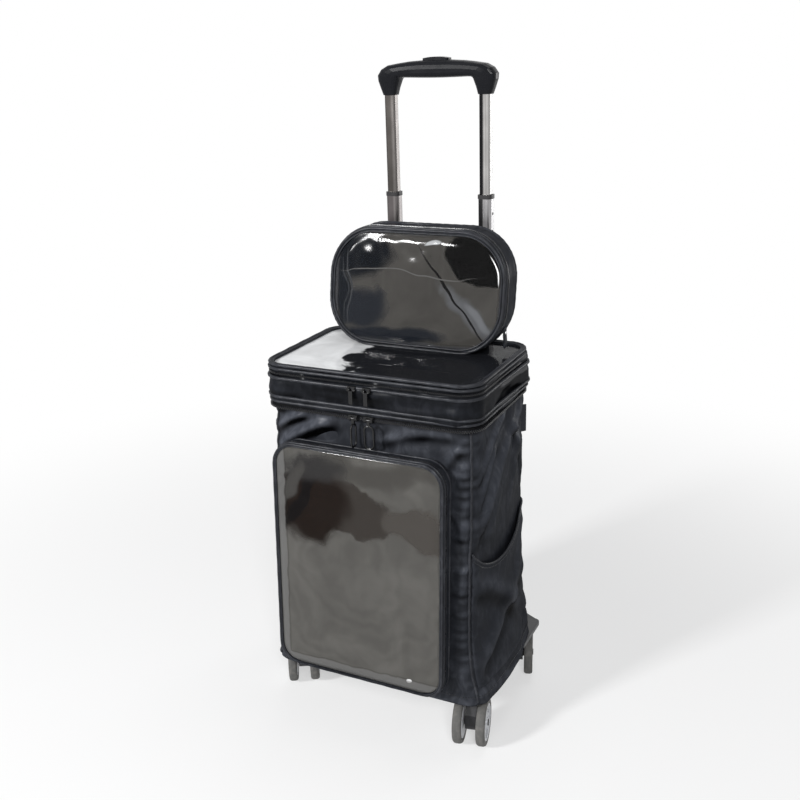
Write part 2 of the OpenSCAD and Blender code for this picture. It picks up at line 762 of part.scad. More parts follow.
// Patch pocket on the right side: a sheet that meets the side at its edges and stands off in its middle
module side_pocket() {
  sheet = 1.6;
  mouth_r = 164;
  side_pocket_lean = 14;
  n = 10;
  levels = [
    [[tray_top + 18, 14, 7, 9], 0],
    [body_levels[2], side_pocket_gap * 0.4],
    [body_levels[3], side_pocket_gap * 0.8],
    [[side_pocket_z + 12, 2, 6, 1], side_pocket_gap + 2]
  ];
  color([0.06, 0.06, 0.07]) place() difference() {
    loft([for (l = levels) concat(
      [for (i = [0 : n]) pocket_point(l, i / n, 0.5 + sheet)],
      [for (i = [n : -1 : 0]) pocket_point(l, i / n, 0.5)]
    )], sheet = true);
    translate([body_w / 2, -side_pocket_lean, side_pocket_z + mouth_r - side_pocket_lean]) rotate([0, 90, 0])
      cylinder(r = mouth_r, h = 60, center = true, $fn = 96);
  }
}

// Flat band of zip teeth round the body's mouth, wider than the body so that the lid's rim overhangs
module main_zip() {
  w = lid_w - piping_d + 2;
  d = lid_d - piping_d + 2;
  inner_w = body_w - 2 * fabric_t;
  color([0.13, 0.13, 0.14]) place() translate([0, 0, mouth_z]) difference() {
    round_bar(w, d, lid_r - 1, zip_t);
    translate([0, (body_back_y - body_front_top) / 2, -cut])
      round_bar(inner_w, body_front_top + body_back_y - 2 * fabric_t, body_r - fabric_t, zip_t + 2 * cut);
  }
}

module seam_label() {
  label_w = 11;
  label_h = 35;
  label_t = 2;
  color("black") place()
    translate([panel_x, body_back_y - body_r, mouth_z - 60]) rotate(45)
      translate([body_r + 3 * soft_gap, -label_t / 2, 0]) cube([label_w, label_t, label_h]);
}

// Front pocket, drawn flat and stood against the slanting front panel

pocket_slant = atan((body_front_foot - body_front_top) / (mouth_z - skirt_z));
pocket_mid = pocket_z + pocket_h / 2 * cos(pocket_slant);

module at_pocket(d) {
  place() translate([-pocket_shift, -body_front(pocket_mid), pocket_mid])
    rotate([90 - pocket_slant, 0, 0]) translate([0, 0, d]) children();
}

module pocket_form(inset, h) {
  round_bar(pocket_w - 2 * inset, pocket_h - 2 * inset, pocket_r - inset, h);
}

module pocket_gusset() {
  color([0.07, 0.075, 0.085]) at_pocket(seat_gap) difference() {
    union() {
      pocket_form(0, pocket_gusset_d);
      translate([0, 0, pocket_gusset_d - piping_d / 2 - 0.2]) bead(pocket_w, pocket_h, pocket_r, piping_d);
    }
    translate([0, 0, -cut]) pocket_form(fabric_t, pocket_gusset_d + 2 * cut);
  }
}

// What lies below the flap's hinge line is cut away, so that it can swing down
module over_hinge() {
  intersection() {
    children();
    translate([-pocket_w, pocket_hinge - pocket_h / 2, -50]) cube([2 * pocket_w, 2 * pocket_h, 100]);
  }
}

module pocket_frame() {
  color([0.08, 0.08, 0.09]) at_pocket(pocket_frame_d) over_hinge() difference() {
    union() {
      pocket_form(0, frame_t);
      translate([0, 0, piping_d / 2])
        bead(pocket_w - piping_d, pocket_h - piping_d, pocket_r - piping_d / 2, piping_d);
    }
    translate([0, 0, -cut]) pocket_form(pocket_border, frame_t + 3 * cut);
  }
}

module pocket_window() {
  color([0.62, 0.6, 0.57, 0.5]) at_pocket(pocket_frame_d - window_t) over_hinge()
    pocket_form(pocket_border - window_lap + 1, window_t);
}

// Lid

rim = piping_d / 2;

module lid_form(z, inset, h) {
  translate([0, 0, z]) round_bar(lid_w - 2 * inset, lid_d - 2 * inset, lid_r - inset, h);
}

module lid_bead(z) {
  translate([0, 0, z]) bead(lid_w - piping_d, lid_d - piping_d, lid_r - rim, piping_d);
}

module lid_floor() {
  color([0.07, 0.07, 0.08]) place() lid_form(lid_z, rim, lid_floor_t);
}

module lid_wall() {
  foot = lid_z + lid_floor_t;
  color([0.06, 0.065, 0.075]) place() difference() {
    union() {
      lid_form(foot, rim, lid_top - foot);
      for (z = [foot + 9, lid_top - 6]) lid_bead(z);
    }
    lid_form(foot - cut, rim + fabric_t, lid_top - foot + 2 * cut);
  }
}

// The window lies in a step under the frame
module lid_frame() {
  foot = lid_top + soft_gap;
  color([0.07, 0.07, 0.08]) place() difference() {
    union() {
      lid_form(foot, rim, lid_frame_t);
      lid_bead(foot + lid_frame_t - rim);
    }
    lid_form(foot - cut, lid_border, lid_frame_t + 2 * cut);
    lid_form(foot - cut, lid_border - window_lap, cut + window_t + seat_gap / 2);
  }
}

module lid_window() {
  color([0.85, 0.86, 0.88, 0.5]) place()
    lid_form(lid_top + soft_gap, lid_border - window_lap + seat_gap, window_t);
}

// Zip sliders and their pulls

slider_d = 5;
slider_h = 7;
main_slider_x = [-13, 7];
lid_slider_x = [-14, 5];
rim_front = (lid_d - piping_d + 2) / 2 + soft_gap;
slider_z = mouth_z - 1;
lid_slider_z = lid_top - 18;
pin_out = slider_d - 1.8;
link_l = 8;

// A slider's body with a bridge on its face, which stands out along -Y
module slider(w) {
  difference() {
    rotate([90, 0, 90]) translate([0, 0, -w / 2]) linear_extrude(w)
      polygon([[0, 0], [0, slider_h], [-2.6, slider_h],
        [-slider_d, slider_h - 2], [-slider_d, 2], [-2.6, 0]]);
    translate([0, -pin_out, slider_h / 2]) rotate([0, 90, 0])
      cylinder(d = pull_rod + 2 * soft_gap, h = 2 * w, center = true, $fn = 24);
    translate([0, -slider_d + 1, slider_h / 2 - pull_rod]) cube([w / 2.4, 4.4, slider_h + 3], center = true);
  }
}

module main_slider(k) {
  color([0.1, 0.1, 0.1]) place()
    translate([main_slider_x[k], -rim_front, slider_z]) slider(slider_w);
}

// Outline of a long loop with round ends, hanging down from its eye
function loop_points(w, l, n = 8) = concat(
  [for (i = [0 : n]) [w / 2 * cos(180 * i / n), -w / 2 + w / 2 * sin(180 * i / n)]],
  [for (i = [0 : n]) [-w / 2 * cos(180 * i / n), -l + w / 2 - w / 2 * sin(180 * i / n)]]
);

// A looped pull: a pin in the slider, a short link down from it, and the loop. The left loop hangs
// edge on, turned a quarter, and the right one flat.
module main_pull(k, turn) {
  color([0.05, 0.05, 0.05]) place()
    translate([main_slider_x[k], -rim_front - pin_out, slider_z + slider_h / 2]) {
      rotate([0, 90, 0]) cylinder(d = pull_rod, h = slider_w - 1, center = true, $fn = 24);
      translate([0, 0, -link_l / 2]) cube([3.6, pull_rod - 0.2, link_l], center = true);
      translate([0, 0, 1 - link_l]) rotate(turn)
        piping([for (p = loop_points(pull_w - pull_rod, pull_l - link_l)) [p[0], 0, p[1]]],
          pull_rod, [0, 1, 0], 8);
    }
}

module lid_slider(k) {
  tab = [5, 1.8, 16];
  color([0.1, 0.1, 0.1]) place() translate([lid_slider_x[k], -lid_d / 2 + rim - soft_gap, lid_slider_z]) {
    slider(slider_w - 1);
    translate([0, -slider_d, (slider_h - tab[2]) / 2 - 1]) cube(tab, center = true);
  }
}

// Pouch, a sheared prism that stands flat and leans back

pouch_foot = window_top + soft_gap;
pouch_x0 = pouch_shift - pouch_w / 2;
pouch_normal = [0, -1, tan(pouch_lean)];
function pouch_ring(d, inset) =
  [for (p = outline(pouch_x0 + inset, pouch_x0 + pouch_w - inset,
      pouch_foot + inset, pouch_foot + pouch_h - inset, pouch_r - inset))
    [p[0], pouch_y + d + (p[1] - pouch_foot) * tan(pouch_lean), p[1]]];
pouch_hinge_z = pouch_foot + 4;
pouch_frame_d = frame_t + soft_gap;

module pouch_gusset() {
  color([0.07, 0.07, 0.08]) place() difference() {
    union() {
      loft([pouch_ring(pouch_d - fabric_t, 0), pouch_ring(pouch_frame_d, 0)]);
      piping(pouch_ring(pouch_frame_d + piping_d / 2, piping_d / 2 - 1), piping_d, pouch_normal);
      piping(pouch_ring(pouch_d - fabric_t - piping_d / 2, piping_d / 2 - 1), piping_d, pouch_normal);
    }
    loft([pouch_ring(pouch_d + cut, fabric_t), pouch_ring(-cut, fabric_t)]);
    translate([-300, -300, pouch_foot - 10]) cube([600, 600, 10]);
  }
}

module pouch_back() {
  color([0.06, 0.06, 0.07]) place()
    loft([pouch_ring(pouch_d, 0), pouch_ring(pouch_d - fabric_t, 0)]);
}

module over_pouch_hinge() {
  intersection() {
    children();
    translate([-300, -300, pouch_hinge_z]) cube([600, 600, 600]);
  }
}

module pouch_frame() {
  color([0.09, 0.09, 0.1]) place() over_pouch_hinge() {
    difference() {
      union() {
        loft([pouch_ring(frame_t, 0), pouch_ring(0, 1)]);
        piping(pouch_ring(frame_t - piping_d / 2, 3), piping_d, pouch_normal);
      }
      loft([pouch_ring(frame_t + cut, pouch_border), pouch_ring(-piping_d, pouch_border)]);
    }
  }
}

module pouch_window() {
  inset = pouch_border - window_lap + 1;
  color([0.62, 0.6, 0.57, 0.5]) place() over_pouch_hinge()
    loft([pouch_ring(frame_t + window_t, inset), pouch_ring(frame_t, inset)]);
}

// Zip pull that hangs from the pouch's right end: a fabric tab with a rivet
module pouch_pull() {
  tab = [1.8, 9, 25];
  pull_z = 32;
  rivet_d = 4.4;
  x = pouch_x0 + pouch_w - pouch_r + sqrt(pow(pouch_r, 2) - pow(pouch_r - pull_z, 2)) + soft_gap;
  y = pouch_y + pouch_d / 2 + pull_z * tan(pouch_lean);
  color([0.08, 0.08, 0.08]) place() translate([x, y, pouch_foot + pull_z]) {
    translate([0, -tab[1] / 2, -tab[2]]) cube(tab);
    translate([tab[0], 0, -7]) rotate([0, 90, 0]) cylinder(d = rivet_d, h = 0.9, $fn = 32);
  }
}

base_tray();
tube_sockets();
outer_tube(-1);  // outer_tube_left
outer_tube(1);  // outer_tube_right
outer_collars();
tube_loops();
caster_mounts();
middle_tube(-1);  // middle_tube_left
middle_tube(1);  // middle_tube_right
middle_collars();
middle_lock_plugs();
inner_tube(-1);  // inner_tube_left
inner_tube(1);  // inner_tube_right
inner_lock_plugs();
grip_lower();
grip_cover();
push_button();
release_yoke();
button_spring();
fork(0);  // fork_front_left
fork(1);  // fork_front_right
fork(2);  // fork_rear_left
fork(3);  // fork_rear_right
wheel(0, -1);  // wheel_front_left_a
wheel(0, 1);  // wheel_front_left_b
wheel(1, -1);  // wheel_front_right_a
wheel(1, 1);  // wheel_front_right_b
wheel(2, -1);  // wheel_rear_left_a
wheel(2, 1);  // wheel_rear_left_b
wheel(3, -1);  // wheel_rear_right_a
wheel(3, 1);  // wheel_rear_right_b
body_front_panel();  // body_front
body_back_panel();  // body_back
body_side_panel(-1);  // body_left
body_side_panel(1);  // body_right
body_floor();
side_pocket();
main_zip();
seam_label();
pocket_gusset();
pocket_frame();
pocket_window();
lid_floor();
lid_wall();
lid_frame();
lid_window();
main_slider(0);  // main_slider_left
main_slider(1);  // main_slider_right
main_pull(0, 90);  // main_pull_left
main_pull(1, 0);  // main_pull_right
lid_slider(0);  // lid_slider_left
lid_slider(1);  // lid_slider_right
pouch_gusset();
pouch_back();
pouch_frame();
pouch_window();
pouch_pull();
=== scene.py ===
"""Looks of a soft trolley bag with clear windows, its pouch, pull handle and caster tray.

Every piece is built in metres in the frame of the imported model. The soft pieces are fabric with
seams, piping, zips and folds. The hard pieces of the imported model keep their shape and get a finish.
"""

import logging
import math
from dataclasses import dataclass, field
from enum import Enum
from typing import Callable, Sequence

import bpy
import numpy as np
from mathutils import Matrix, Vector


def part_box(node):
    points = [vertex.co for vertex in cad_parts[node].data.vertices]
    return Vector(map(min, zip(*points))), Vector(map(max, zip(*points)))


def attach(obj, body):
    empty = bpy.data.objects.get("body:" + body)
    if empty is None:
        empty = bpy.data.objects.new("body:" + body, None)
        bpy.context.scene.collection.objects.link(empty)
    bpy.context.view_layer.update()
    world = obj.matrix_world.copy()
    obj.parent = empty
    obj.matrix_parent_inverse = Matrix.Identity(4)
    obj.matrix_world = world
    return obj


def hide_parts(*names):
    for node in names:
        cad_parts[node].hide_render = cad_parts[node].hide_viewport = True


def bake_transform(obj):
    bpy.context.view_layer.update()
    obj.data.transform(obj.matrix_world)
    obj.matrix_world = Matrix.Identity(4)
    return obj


LOG = logging.getLogger("trolley_bag")
MM = 0.001

Piece = bpy.types.Object
Socket = bpy.types.NodeSocket
Place = Callable[[np.ndarray], np.ndarray]
Profile = Sequence[tuple[float, float]]
Faces = list[tuple[int, ...]]
Size = tuple[float, float, float]
Colour = tuple[float, float, float]

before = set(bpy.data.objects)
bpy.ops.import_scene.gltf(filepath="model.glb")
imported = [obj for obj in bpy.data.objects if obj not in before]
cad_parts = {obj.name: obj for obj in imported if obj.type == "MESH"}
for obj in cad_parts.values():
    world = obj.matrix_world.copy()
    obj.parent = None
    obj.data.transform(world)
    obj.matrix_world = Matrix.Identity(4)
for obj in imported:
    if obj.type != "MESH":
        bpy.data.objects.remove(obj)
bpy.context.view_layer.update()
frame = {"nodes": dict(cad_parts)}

# Distance of the tray's rear edge from the bag's own middle, and where that middle lies along Y
TRAY_REAR = 0.147
BAG_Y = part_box("base_tray")[1].y - TRAY_REAR


def place_bag(points: np.ndarray) -> np.ndarray:
    """Moves points from the bag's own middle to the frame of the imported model.

    Args:
        points: Points in metres, one to a row of the last axis.

    Returns:
        The moved points.
    """
    return points + np.array([0.0, BAG_Y, 0.0])


def raised(points: np.ndarray, low: float) -> np.ndarray:
    """Copy of points whose Y is nowhere under a limit."""
    return np.stack([points[..., 0], np.maximum(points[..., 1], low), points[..., 2]], axis=-1)


# Shapes

# Large odd factors that scatter a cell's place, the seed and the mixed bits
CELL_MIX = (374761393, 668265263, 1274126177)
SEED_MIX = 974711
BIT_MIX = 1103515245
LOW_BITS = 0xFFFFFFFF

# Rise at which a fold's painted light is full, and the weight of its slope against its rise, for the painted
# light and shade of folds
FOLD_SHADE_RISE = 0.012
FOLD_SHADE_SLOPE = 1.9


def lattice(cell: np.ndarray, seed: int) -> np.ndarray:
    """Gives each whole-numbered cell corner a fixed value from -1 to 1.

    Args:
        cell: Whole numbers, three to a row.
        seed: Number that makes one field differ from another.

    Returns:
        One value to a row.
    """
    mixed = (cell @ np.array(CELL_MIX) + seed * SEED_MIX) & LOW_BITS
    mixed = ((mixed ^ (mixed >> 13)) * BIT_MIX) & LOW_BITS
    return ((mixed ^ (mixed >> 16)) & 0xFFFF) / 32767.5 - 1.0


def billow(points: np.ndarray, size: Sequence[float], seed: int, octaves: int = 2) -> np.ndarray:
    """Smooth random swells, from about -1 to 1, for folds and sags.

    Args:
        points: Points, with three numbers on the last axis.
        size: Length of one swell along X, Y and Z.
        seed: Number that makes one field differ from another.
        octaves: How many finer layers are added.

    Returns:
        Values of the shape of points without its last axis.
    """
    shape = points.shape[:-1]
    flat = points.reshape(-1, 3) / np.array(size)
    total = np.zeros(len(flat))
    for k in range(octaves):
        p = flat * 2**k + 17.3 * k
        base = np.floor(p).astype(np.int64)
        t = p - base
        t = t * t * (3 - 2 * t)
        value = np.zeros(len(flat))
        for corner in range(8):
            step = np.array([corner & 1, corner >> 1 & 1, corner >> 2 & 1])
            weight = np.prod(np.where(step == 1, t, 1 - t), axis=1)
            value += weight * lattice(base + step, seed + 31 * k)
        total += value / 2**k
    return total.reshape(shape)


def piece(name: str, points: np.ndarray, faces: Sequence[Sequence[int]]) -> Piece:
    """Makes a smooth mesh object and links it to the scene.

    Args:
        name: Name of the piece.
        points: Vertices, three numbers to a row.
        faces: Vertex numbers of each face.

    Returns:
        The object.
    """
    mesh = bpy.data.meshes.new(name)
    mesh.from_pydata([tuple(p) for p in points.reshape(-1, 3)], [], faces)
    mesh.validate()
    mesh.shade_smooth()
    made = bpy.data.objects.new(name, mesh)
    bpy.context.scene.collection.objects.link(made)
    return made


def grid_faces(rows: int, columns: int, wrap_rows: bool, wrap_columns: bool) -> Faces:
    """Faces of a grid of points, whose rows or columns may close on themselves.

    Args:
        rows: Number of rows.
        columns: Number of columns.
        wrap_rows: True if the last row joins the first.
        wrap_columns: True if the last column joins the first.

    Returns:
        Four vertex numbers to a face.
    """
    faces = []
    for i in range(rows if wrap_rows else rows - 1):
        for j in range(columns if wrap_columns else columns - 1):
            a, b = (i + 1) % rows, (j + 1) % columns
            faces.append((i * columns + j, i * columns + b, a * columns + b, a * columns + j))
    return faces


def grid_normals(points: np.ndarray, wrap_rows: bool, wrap_columns: bool) -> np.ndarray:
    """Unit normals of a grid of points.

    Args:
        points: Rows by columns by three.
        wrap_rows: True if the last row joins the first.
        wrap_columns: True if the last column joins the first.

    Returns:
        A unit vector for each point.
    """
    def slope(axis: int, wrap: bool) -> np.ndarray:
        """Central difference along one axis of the grid."""
        around = np.roll(points, -1, axis) - np.roll(points, 1, axis)
        return around if wrap else np.gradient(points, axis=axis)

    normal = np.cross(slope(1, wrap_columns), slope(0, wrap_rows))
    return normal / np.maximum(np.linalg.norm(normal, axis=-1, keepdims=True), 1e-12)


@dataclass
class Outline:
    """Closed line round a rectangle with round corners, anticlockwise.

    Attributes:
        points: Points on the line, two numbers each.
        normals: Unit vectors that point outward.
    """

    points: np.ndarray
    normals: np.ndarray

    @classmethod
    def rounded(cls, width: float, depth: float, radius: float, arc: int = 12, step: float = 0.005,
                middle: tuple[float, float] = (0.0, 0.0)) -> "Outline":
        """Draws the line.

        Args:
            width: Size along the first axis.
            depth: Size along the second axis.
            radius: Corner radius.
            arc: Number of steps in each corner.
            step: Length of a step on a straight side.
            middle: Where the rectangle's middle lies.

        Returns:
            The outline.
        """
        points, normals = [], []
        half = np.array([width / 2 - radius, depth / 2 - radius])
        signs = [(1, 1), (-1, 1), (-1, -1), (1, -1)]
        for k, sign in enumerate(signs):
            centre = half * sign
            for t in np.linspace(0, 1, arc + 1):
                angle = math.pi / 2 * (k + t)
                out = np.array([math.cos(angle), math.sin(angle)])
                points.append(centre + out * radius)
                normals.append(out)
            following = half * signs[(k + 1) % 4] + normals[-1] * radius
            length = np.linalg.norm(following - points[-1])
            count = max(1, round(length / step))
            start = points[-1]
            for t in np.arange(1, count) / count:
                points.append(start + (following - start) * t)
                normals.append(normals[-1])
        return cls(np.array(points) + np.array(middle), np.array(normals))

    def at(self, inset: float | np.ndarray) -> np.ndarray:
        """Points moved inward by an amount that may differ from point to point."""
        return self.points - self.normals * np.reshape(inset, (-1, 1))

    def lengths(self) -> np.ndarray:
        """Distance of each point along the line."""
        steps = np.linalg.norm(np.roll(self.points, -1, 0) - self.points, axis=1)
        return np.concatenate([[0.0], np.cumsum(steps)[:-1]])

    def total(self) -> float:
        """Length of the whole line."""
        return float(np.linalg.norm(np.roll(self.points, -1, 0) - self.points, axis=1).sum())


def band_points(line: Outline, profile: Profile, place: Place) -> np.ndarray:
    """Carries a profile round an outline.

    Args:
        line: The outline.
        profile: Points as (inset, height).
        place: Moves flat points with a height to where they belong.

    Returns:
        A grid with a row for each profile point.
    """
    rows = [np.column_stack([line.at(inset), np.full(len(line.points), height)]) for inset, height in profile]
    return place(np.array(rows))


def curve_profile(corners: Profile, radius: float, steps: int = 4) -> Profile:
    """Closed profile whose corners are rounded off.

    Args:
        corners: Corner points as (inset, height).
        radius: How far before a corner its round starts.
        steps: Number of steps in each round.

    Returns:
        The profile's points.
    """
    made, most = [], 0.48
    points = [np.array(c) for c in corners]
    for k, corner in enumerate(points):
        before, after = points[k - 1] - corner, points[(k + 1) % len(points)] - corner
        lengths = np.linalg.norm(before), np.linalg.norm(after)
        reach = min(radius, lengths[0] * most, lengths[1] * most)
        a = corner + before / lengths[0] * reach
        b = corner + after / lengths[1] * reach
        for t in np.linspace(0, 1, steps + 1):
            made.append(tuple((1 - t) ** 2 * a + 2 * t * (1 - t) * corner + t**2 * b))
    return made


def soft_band(name: str, line: Outline, profile: Profile, place: Place,
              swell: float, size: Sequence[float], seed: int, drape: "Drape | None" = None) -> Piece:
    """A closed band of fabric round an outline, with gentle swells.

    Args:
        name: Name of the piece.
        line: The outline.
        profile: Closed profile as (inset, height).
        place: Moves flat points to where they belong.
        swell: Height of the swells.
        size: Length of the swells along X, Y and Z.
        seed: Number of the random field.
        drape: Cloth run that folds the band, if it has one.

    Returns:
        The object.
    """
    points = band_points(line, profile, place)
    normals = grid_normals(points, True, True)
    rise = billow(points, size, seed) * swell
    if drape is not None:
        share = [min(1.0, 2.0 * k / len(profile)) for k in range(len(profile))]
        outward = np.array([0.5 - 0.5 * math.cos(2 * math.pi * t) for t in share])
        held = np.repeat((outward < 0.12)[:, None], len(line.points), axis=1)
        rise = rise + drape.folds(points, normals, True, True, held) * outward[:, None]
    faces = grid_faces(len(profile), len(line.points), True, True)
    made = piece(name, points + normals * rise[..., None], faces)
    paint_fold_shade(made, rise, points)
    return made


def paint_fold_shade(made: Piece, rise: np.ndarray, points: np.ndarray) -> None:
    """Marks painted light and shade on a fabric's folds, from -1 in a hollow to 1 on a side that faces up, for
    its colour.

    Args:
        made: The piece, whose first points are those of the grid.
        rise: How far each point was moved out of the plain shape.
        points: The plain shape.
    """
    up = np.gradient(points[..., 2], axis=0)
    steep = np.abs(up) > 0.0002
    slope = np.where(steep, np.gradient(rise, axis=0) / np.where(steep, up, 1.0), 0.0)
    tone = np.zeros(len(made.data.vertices), np.float32)
    # Painted light on the sides of folds that face up, painted shade in the hollows.
    tone[:rise.size] = np.clip(rise / FOLD_SHADE_RISE - FOLD_SHADE_SLOPE * slope, -1, 1).ravel()
    made.data.attributes.new("fold", "FLOAT", "POINT").data.foreach_set("value", tone)


@dataclass(frozen=True)
class Drape:
    """A short cloth run that lets a skin of fabric settle into folds.

    Attributes:
        growth: Share by which the cloth is larger than the shape it hangs on.
        pressure: How hard it is pressed outward.
        weight: Share of gravity.
        stiff: Bending stiffness.
        out: Furthest that a point may move outward.
        back: Furthest that a point may move inward.
        frames: Number of frames.
        step: Every how many points of the grid the cloth has one.
    """

    growth: float = 0.03
    pressure: float = 0.6
    weight: float = 0.6
    stiff: float = 0.6
    out: float = 0.005
    back: float = 0.002
    frames: int = 22
    step: int = 2

    def folds(self, points: np.ndarray, normals: np.ndarray, wrap_rows: bool, wrap_columns: bool,
              held: np.ndarray) -> np.ndarray:
        """Runs the cloth and measures how far it settles from its plain shape.

        Args:
            points: Rows by columns by three.
            normals: Unit normals of the points.
            wrap_rows: True if the last row joins the first.
            wrap_columns: True if the last column joins the first.
            held: True where the cloth is sewn down.

        Returns:
            A distance along the normal for each point.
        """
        rows, columns = points.shape[:2]
        take_rows = np.arange(0, rows, self.step)
        take_columns = np.arange(0, columns, self.step)
        if not wrap_rows and take_rows[-1] != rows - 1:
            take_rows = np.append(take_rows, rows - 1)
        coarse = points[np.ix_(take_rows, take_columns)]
        made = piece("cloth_run", coarse, grid_faces(*coarse.shape[:2], wrap_rows, wrap_columns))
        group = made.vertex_groups.new(name="held")
        sewn = np.flatnonzero(held[np.ix_(take_rows, take_columns)].ravel())
        group.add([int(k) for k in sewn], 1.0, "REPLACE")
        run = made.modifiers.new("cloth_run", "CLOTH")
        cloth = run.settings
        cloth.quality = 6
        cloth.mass = 0.25
        cloth.tension_stiffness = cloth.compression_stiffness = 25.0
        cloth.shear_stiffness = 10.0
        cloth.bending_stiffness = self.stiff
        cloth.vertex_group_mass = "held"
        cloth.shrink_min = -self.growth
        cloth.use_pressure = True
        cloth.uniform_pressure_force = self.pressure
        cloth.effector_weights.gravity = self.weight
        run.collision_settings.use_collision = False
        scene = bpy.context.scene
        for number in range(1, self.frames + 1):
            scene.frame_set(number)
        settled = made.evaluated_get(bpy.context.evaluated_depsgraph_get())
        moved = np.empty(len(settled.data.vertices) * 3)
        settled.data.vertices.foreach_get("co", moved)
        bpy.data.objects.remove(made, do_unlink=True)
        scene.frame_set(1)
        shift = ((moved.reshape(coarse.shape) - coarse) * normals[np.ix_(take_rows, take_columns)]).sum(-1)
        shift = np.where(shift > 0, self.out * np.tanh(shift / self.out),
                         self.back * np.tanh(shift / self.back))
        LOG.info("cloth run of %d points settled by up to %.1f mm", shift.size, shift.max() / MM)
        return self.spread(shift, take_rows, take_columns, (rows, columns), wrap_columns)

    def spread(self, shift: np.ndarray, take_rows: np.ndarray, take_columns: np.ndarray,
               shape: tuple[int, int], wrap: bool) -> np.ndarray:
        """Carries values of the coarse grid to the fine one and smooths them.

        Args:
            shift: Values of the coarse grid.
            take_rows: Rows of the fine grid that the coarse one has.
            take_columns: Columns of the fine grid that the coarse one has.
            shape: Size of the fine grid.
            wrap: True if the last column joins the first.

        Returns:
            Values of the fine grid.
        """
        if wrap:
            shift = np.hstack([shift, shift[:, :1]])
            take_columns = np.append(take_columns, shape[1])
        wide = np.array([np.interp(np.arange(shape[1]), take_columns, row) for row in shift])
        full = np.array([np.interp(np.arange(shape[0]), take_rows, column) for column in wide.T]).T
        for _ in range(2):
            full = (2 * full + np.roll(full, 1, 1) + np.roll(full, -1, 1)) / 4
            full[1:-1] = (2 * full[1:-1] + full[:-2] + full[2:]) / 4
        return full


def piping_ring(name: str, line: Outline, inset: float, height: float, radius: float, place: Place,
                pucker: float) -> Piece:
    """Round fabric-covered cord sewn along an outline.

    Args:
        name: Name of the piece.
        line: The outline.
        inset: How far inside the outline the cord lies.
        height: Height of its middle.
        radius: Its radius.
        place: Moves flat points to where they belong.
        pucker: Share of the radius by which stitches draw it in.

    Returns:
        The object.
    """
    stitch, sides = 0.006, 12
    wave = np.sin(line.lengths() / stitch * 2 * math.pi)
    reach = radius * (1 + pucker * wave)
    rows = []
    for k in range(sides):
        angle = 2 * math.pi * k / sides
        flat = line.at(inset + reach * math.cos(angle))
        rows.append(np.column_stack([flat, height + reach * math.sin(angle)]))
    return piece(name, place(np.array(rows)), grid_faces(sides, len(line.points), True, True))


def blocks(name: str, centres: np.ndarray, along: np.ndarray, out: np.ndarray, up: np.ndarray,
           size: Size) -> Piece:
    """Many small blocks in one mesh, such as a zip's teeth or stitches, with bevelled faces.

    Args:
        name: Name of the piece.
        centres: Middle of each block.
        along: Unit vector of each block's length.
        out: Unit vector of each block's depth.
        up: Unit vector of each block's height.
        size: Length, depth and height.

    Returns:
        The object.
    """
    corners, narrow = [], 0.72
    for side in (-1, 1):
        scale = narrow if side == 1 else 1.0
        for a, b in ((-1, -1), (1, -1), (1, 1), (-1, 1)):
            corners.append(centres + along * a * size[0] / 2 * scale + out * side * size[1] / 2
                           + up * b * size[2] / 2 * scale)
    points = np.stack(corners, axis=1)
    faces = []
    for n in range(0, 8 * len(centres), 8):
        faces += [(n, n + 3, n + 2, n + 1), (n + 4, n + 5, n + 6, n + 7)]
        faces += [(n + j, n + (j + 1) % 4, n + 4 + (j + 1) % 4, n + 4 + j) for j in range(4)]
    made = piece(name, points, faces)
    made.data.shade_flat()
    return made


def teeth_ring(name: str, line: Outline, inset: float, height: float, place: Place, pitch: float,
               size: Size) -> Piece:
    """A zip's teeth round an outline, in two rows that mesh.

    Args:
        name: Name of the piece.
        line: The outline.
        inset: How far inside the outline the teeth's middles lie.
        height: Height of the zip's middle line.
        place: Moves flat points to where they belong.
        pitch: Distance between two teeth of a row.
        size: Length, depth and height of a tooth.

    Returns:
        The object.
    """
    lengths = np.concatenate([line.lengths(), [line.total()]])
    count = int(line.total() / pitch)
    where = (np.arange(2 * count) / 2 + 0.25) * line.total() / count
    flat = line.at(inset)
    flat = np.vstack([flat, flat[:1]])
    normal = np.vstack([line.normals, line.normals[:1]])
    middle = np.column_stack([np.interp(where, lengths, flat[:, k]) for k in range(2)])
    out = np.column_stack([np.interp(where, lengths, normal[:, k]) for k in range(2)])
    rows = np.where(np.arange(2 * count) % 2 == 0, 1.0, -1.0) * size[2] * 0.42
    base = place(np.column_stack([middle, height + rows]))
    outward = place(np.column_stack([middle + out * MM, height + rows])) - base
    upward = place(np.column_stack([middle, height + rows + MM])) - base
    outward /= np.linalg.norm(outward, axis=1, keepdims=True)
    upward /= np.linalg.norm(upward, axis=1, keepdims=True)
    side = np.cross(outward, upward)
    return blocks(name, base, side, outward, upward, size)


def stitch_row(name: str, path: np.ndarray, out: np.ndarray, pitch: float = 0.0034,
               size: Size = (0.0023, 0.0005, 0.0006)) -> Piece:
    """A row of stitches along a path on a face.

    Args:
        name: Name of the piece.
        path: Points of the path.
        out: Unit vector away from the face at each point.
        pitch: Distance from stitch to stitch.
        size: Length, depth and height of a stitch.

    Returns:
        The object.
    """
    lengths = np.concatenate([[0.0], np.cumsum(np.linalg.norm(np.diff(path, axis=0), axis=1))])
    where = np.arange(0.5 * pitch, lengths[-1], pitch)

    def at(values: np.ndarray, place: np.ndarray) -> np.ndarray:
        """Values of the path's points at distances along it."""
        return np.column_stack([np.interp(place, lengths, values[:, k]) for k in range(3)])

    centres = at(path, where)
    along = at(path, where + pitch / 4) - at(path, where - pitch / 4)
    along = along / np.linalg.norm(along, axis=1, keepdims=True)
    outward = at(out, where)
    up = np.cross(outward, along)
    up = up / np.linalg.norm(up, axis=1, keepdims=True)
    return blocks(name, centres, along, np.cross(along, up), up, size)


